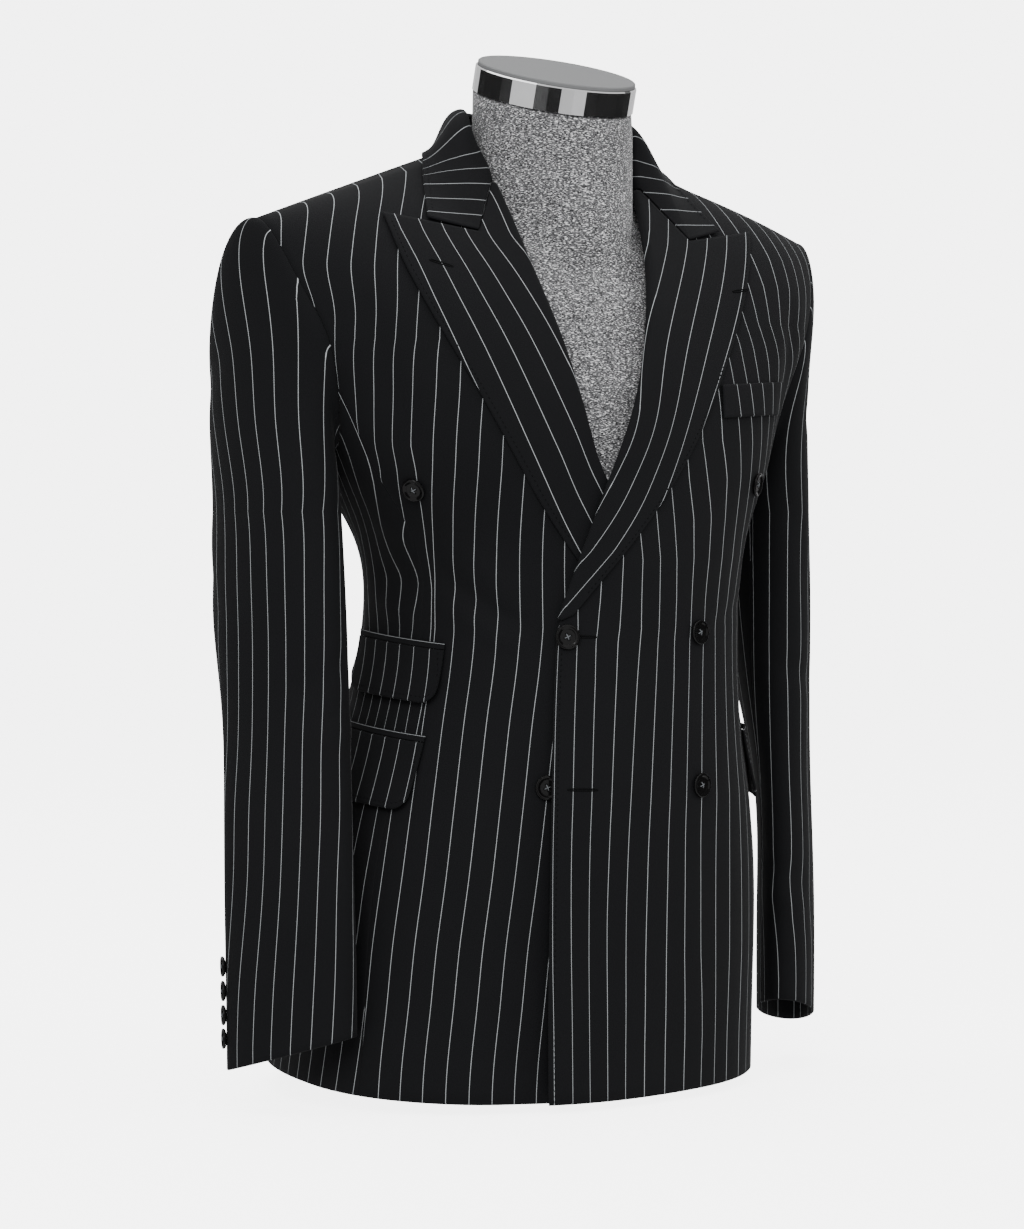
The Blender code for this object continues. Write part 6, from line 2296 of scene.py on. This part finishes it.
@dataclass
class Button:
    """A four-hole button with a raised rim, sewn on with crossed thread."""

    maker: Maker
    name: str
    radius: float = 9.5 * MM
    sides: int = 48
    rings: int = 26
    hole_place: float = 0.20
    hole_radius: float = 0.95 * MM
    hole_depth: float = 1.0 * MM
    thread_radius: float = 0.42 * MM
    spin: float = 0.4
    back: tuple[tuple[float, float], ...] = (
        (0.0, 0.0), (0.50, 0.0), (0.72, 0.05), (0.92, 0.7), (1.0, 1.6), (0.995, 2.2), (0.97, 2.75))
    front: tuple[tuple[float, float], ...] = (
        (0.93, 3.05), (0.87, 3.2), (0.80, 3.1), (0.73, 2.7), (0.66, 2.3), (0.60, 2.1))

    def profile(self) -> tuple[Array, Array]:
        """Draws the outline from the middle of the back, round the rim, to the middle of the front.

        Returns:
            How far out each of its rings lies, and how high.
        """
        outline = np.array(self.back + self.front)
        at = np.linspace(0, len(outline) - 1, 3 * len(outline))
        share, height = (np.interp(at, np.arange(len(outline)), column) for column in outline.T)
        middle = np.linspace(outline[-1, 0], 0.02, self.rings)
        face = np.full(self.rings, outline[-1, 1] * MM)
        return np.concatenate((share * self.radius, middle * self.radius)), np.concatenate((height * MM, face))

    def holes(self) -> Array:
        """Gives where the four holes are, on the button's face."""
        turn = self.spin + np.arange(4) * QUARTER
        reach = self.hole_place * self.radius * 1.25
        return stack(np.cos(turn), np.sin(turn)) * reach

    def build(self, seat: Array, axis: Array) -> None:
        """Builds the button with its thread.

        Args:
            seat: the middle of its back.
            axis: the direction that it faces.
        """
        axis = unit(axis)
        first = unit(np.cross(np.array((0.0, 0.0, 1.0)), axis))
        second = np.cross(axis, first)
        radius, height = self.profile()
        turn = np.arange(self.sides) * 2 * HALF_TURN / self.sides
        x, y = radius[:, None] * np.cos(turn), radius[:, None] * np.sin(turn)
        z = np.repeat(height[:, None], self.sides, axis=1)
        for hole in self.holes():
            away = np.hypot(x - hole[0], y - hole[1])
            on_face = (np.arange(len(radius)) > len(radius) - self.rings - 2)[:, None]
            z = z - on_face * self.hole_depth * (1 - smooth(away, 0.55 * self.hole_radius, self.hole_radius))
        grid = seat + x[..., None] * first + y[..., None] * second + z[..., None] * axis
        index = numbered(grid)
        quads = quads_of(np.concatenate((index, index[:, :1]), axis=1))
        faces = quads.tolist() + [index[0, ::-1].tolist(), index[-1].tolist()]
        points, horn = grid.reshape(-1, 3), self.maker.finishes.horn
        self.maker.trim(f"turned_{self.name}", points, faces, horn, "button_black", self.name)
        self.sew(seat, first, second, axis)

    def sew(self, seat: Array, first: Array, second: Array, axis: Array) -> None:
        """Builds the thread that crosses between the holes.

        Args:
            seat: the middle of the button's back.
            first: the direction on its face that its holes are counted from.
            second: the direction on its face square to that.
            axis: the direction that it faces.
        """
        holes, strands = self.holes(), []
        for start, end, lift in ((holes[0], holes[2], 0.0), (holes[1], holes[3], 0.5)):
            t = np.linspace(0, 1, 15)
            path = start + t[:, None] * (end - start)
            rise = (2.05 - 0.75 * (2 * t - 1) ** 6 + (0.30 + lift) * np.sin(t * HALF_TURN)) * MM
            line = seat + path[:, :1] * first + path[:, 1:] * second + rise[:, None] * axis
            strands.append(tube(line, self.thread_radius, THREAD_SIDES))
        self.maker.trim(f"thread_{self.name}", *joined(strands), self.maker.finishes.grey_thread, "button_black")


class ButtonSpot(NamedTuple):
    """Where a front button is, and whose front it is sewn to."""

    name: str
    side: Side
    x: float
    height: float


FRONT_BUTTONS = (
    ButtonSpot("top_right", Side.RIGHT, -0.1565, 0.487),
    ButtonSpot("top_left", Side.LEFT, 0.1350, 0.492),
    ButtonSpot("middle_right", Side.LEFT, -0.0615, 0.3755),
    ButtonSpot("middle_left", Side.LEFT, 0.0549, 0.3775),
    ButtonSpot("bottom_right", Side.RIGHT, -0.0790, 0.2625),
    ButtonSpot("bottom_left", Side.LEFT, 0.0562, 0.2600),
)


class HoleSpot(NamedTuple):
    """A sewn buttonhole: its two ends as drawn from the front, and how far off the front's cloth it lies."""

    name: str
    side: Side
    start: tuple[float, float]
    end: tuple[float, float]
    out: float


BUTTONHOLES = (
    HoleSpot("middle", Side.LEFT, (-0.0540, 0.3757), (-0.0400, 0.3752), 0.0),
    HoleSpot("bottom", Side.LEFT, (-0.0660, 0.2610), (-0.0430, 0.2605), 0.0),
    HoleSpot("lapel_right", Side.RIGHT, (-0.1460, 0.6590), (-0.1290, 0.6540), 2.8 * MM),
    HoleSpot("lapel_left", Side.LEFT, (0.1230, 0.6430), (0.1400, 0.6450), 2.8 * MM),
)


@dataclass
class Buttonhole:
    """A slit closed by two rows of stitches."""

    maker: Maker
    spot: HoleSpot
    half_gap: float = 0.75 * MM
    radius: float = 0.55 * MM
    steps: int = 40
    end_roundness: float = 0.55

    def build(self) -> None:
        """Builds the buttonhole's stitched lips."""
        body = self.maker.body
        start, end = np.array(self.spot.start), np.array(self.spot.end)
        run = end - start
        aside = unit(np.array((-run[1], run[0])))
        turn = np.arange(self.steps) * 2 * HALF_TURN / self.steps
        along = 0.5 - 0.5 * np.sign(np.cos(turn)) * np.abs(np.cos(turn)) ** self.end_roundness
        across = np.sin(turn) * self.half_gap
        drawing = start + along[:, None] * run + across[:, None] * aside
        points, _ = body.on_front(self.spot.side, body.seen(drawing), self.spot.out)
        lips = tube(points, self.radius, THREAD_SIDES, closed=True)
        self.maker.trim(f"buttonhole_{self.spot.name}", *lips, self.maker.finishes.black_thread, "cloth")


# The dress form


@dataclass
class DressForm:
    """The form's torso, its band, cap and foot, which keep the model's own shapes."""

    maker: Maker

    def build(self) -> None:
        """Gives the form's pieces their finishes."""
        finishes = self.maker.finishes
        rows = (("form_torso", finishes.heather, "heather"), ("form_band", finishes.chrome, "chrome_band"),
                ("form_cap", finishes.grey_top, "grey_top"), ("form_base", finishes.foot, "foot_plate"))
        for node, material, slot in rows:
            made = bpy.data.objects[node]
            made.data.materials.clear()
            made.data.materials.append(material)
            log.info("%s: finished with %s", node, material.name)


# The studio

JACKET_MIDDLE = (0, 0, 0.45)

@dataclass
class Studio:
    """A plain pale sweep, soft lights and the camera."""

    camera_place: tuple[float, float, float] = (-1.5875, -2.570, 0.445)
    camera_turn: float = -32.0
    lens: float = 110.7
    shift: tuple[float, float] = (-0.0203, -0.0761)
    sweep_depth: float = 6.0
    sweep_height: float = 5.0
    sweep_bend: float = 1.5
    sweep_sides: int = 64
    glow: float = 4.5
    flag_reach: float = 1.5
    flag_heights: tuple[float, float] = (-0.7, 1.7)
    flag_spans: tuple[tuple[float, float], ...] = ((-138, -62), (-22, 16), (44, 138))

    def build(self) -> None:
        """Builds the sweep, the lights and the camera."""
        self.sweep()
        self.flags()
        self.lights()
        self.camera()

    def sweep(self) -> None:
        """Makes a glowing floor that turns up softly into a wall all round."""
        turn = np.linspace(0, QUARTER, 12)
        reach, height = self.sweep_bend * np.sin(turn), self.sweep_bend * (1 - np.cos(turn))
        reach = np.concatenate(([0.001], self.sweep_depth + reach, [self.sweep_depth + self.sweep_bend]))
        height = np.concatenate(([0.0], height, [self.sweep_height]))
        around = np.arange(self.sweep_sides + 1) * 2 * HALF_TURN / self.sweep_sides
        shader = Shader("pale_sweep")
        white = shader.mix(shader.noise(3, detail=2), (0.86, 0.86, 0.86), (0.88, 0.88, 0.88))
        material = shader.finish(Base_Color=white, Roughness=0.9, Emission_Color=(1, 1, 1, 1),
                                 Emission_Strength=self.glow)
        grid = stack(reach[:, None] * np.cos(around), reach[:, None] * np.sin(around), height[:, None])
        made = self.wall("sweep", grid, material)
        made.visible_diffuse = made.visible_glossy = made.visible_shadow = False

    def flags(self) -> None:
        """Makes dark cards round the neck, seen only in polished things."""
        shader = Shader("black_card")
        black = shader.mix(shader.noise(3, detail=1), (0.01, 0.01, 0.01), (0.02, 0.02, 0.02))
        material = shader.finish(Base_Color=black, Roughness=1.0, Specular_IOR_Level=0.0)
        height = np.array(self.flag_heights)
        for number, span in enumerate(self.flag_spans):
            around = np.radians(self.camera_turn - 90 + np.linspace(*span, 12))[:, None]
            grid = stack(self.flag_reach * np.cos(around), self.flag_reach * np.sin(around), height[None, :])
            made = self.wall(f"flag_{number}", grid, material)
            made.visible_camera = made.visible_diffuse = made.visible_shadow = False

    @staticmethod
    def wall(name: str, grid: Array, material: Any) -> Any:
        """Makes a plain sheet of a stage piece from a grid of points."""
        made = make_object(name, grid.reshape(-1, 3) - ORIGIN_SHIFT, quads_of(numbered(grid)).tolist(), material)
        return made

    def lights(self) -> None:
        """Makes soft lights from the left, the right and above, and an even white surround."""
        self.lamp("key", (-2.6, -2.6, 2.6), 2.4, 95.0)
        self.lamp("fill", (3.2, -2.4, 1.8), 2.6, 60.0)
        self.lamp("top", (0.0, 0.6, 3.4), 2.6, 60.0)
        self.lamp("spark", (-1.2, -2.8, 1.9), 0.45, 14.0)
        world = bpy.data.worlds.new("surround")
        world.use_nodes = True
        background = world.node_tree.nodes["Background"]
        background.inputs[0].default_value = (1, 1, 1, 1)
        background.inputs[1].default_value = 1.0
        bpy.context.scene.world = world

    @staticmethod
    def lamp(name: str, place: tuple[float, float, float], size: float, power: float) -> None:
        """Makes one square soft light that looks at the jacket's middle.

        Args:
            name: its name.
            place: where it stands.
            size: how long its sides are, in metres.
            power: how strong it is, in watts.
        """
        data = bpy.data.lights.new(name, "AREA")
        data.size, data.energy = size, power
        made = bpy.data.objects.new(name, data)
        made.location = place
        made.rotation_mode = "QUATERNION"
        made.rotation_quaternion = (Vector(JACKET_MIDDLE) - Vector(place)).to_track_quat("-Z", "Y")
        bpy.context.scene.collection.objects.link(made)

    def camera(self) -> None:
        """Makes the camera."""
        data = bpy.data.cameras.new("camera")
        data.lens = self.lens
        data.shift_x, data.shift_y = self.shift
        made = bpy.data.objects.new("camera", data)
        made.location = self.camera_place
        made.rotation_euler = (QUARTER, 0, np.radians(self.camera_turn))
        bpy.context.scene.collection.objects.link(made)
        bpy.context.scene.camera = made


def main() -> None:
    """Builds the jacket, the form and the studio in order."""
    logging.basicConfig(level=logging.INFO, format="%(name)s: %(message)s")
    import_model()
    maker = Maker(Finishes.make())
    for side in Side:
        Front(maker, side).build()
        SidePanel(maker, side).build()
        Back(maker, side).build()
        Sleeve(maker, side).build()
        Lapel(maker, side).build()
    Collar(maker).build()
    ChestWelt(maker).build()
    Pocket(maker, "hip", Side.LEFT, x=0.137, height=0.2930, length=0.138, depth=0.052, gap=1.8 * MM).build()
    Pocket(maker, "hip", Side.RIGHT, x=-0.147, height=0.2950, length=0.138, depth=0.052, gap=1.6 * MM).build()
    Pocket(maker, "ticket", Side.RIGHT, x=-0.131, height=0.3650, length=0.105, depth=0.042, gap=1.7 * MM,
           stripe_shift=12.4 * MM, stripe_pitch=15.5 * MM).build()
    for spot in FRONT_BUTTONS:
        place = maker.body.seen(np.array([[spot.x, spot.height]]))
        points, normals = maker.body.on_front(spot.side, place, BUTTON_LIFT)
        Button(maker, f"button_{spot.name}").build(points[0], normals[0])
    for hole in BUTTONHOLES:
        Buttonhole(maker, hole).build()
    DressForm(maker).build()
    Studio().build()


if __name__ == "__main__":
    main()
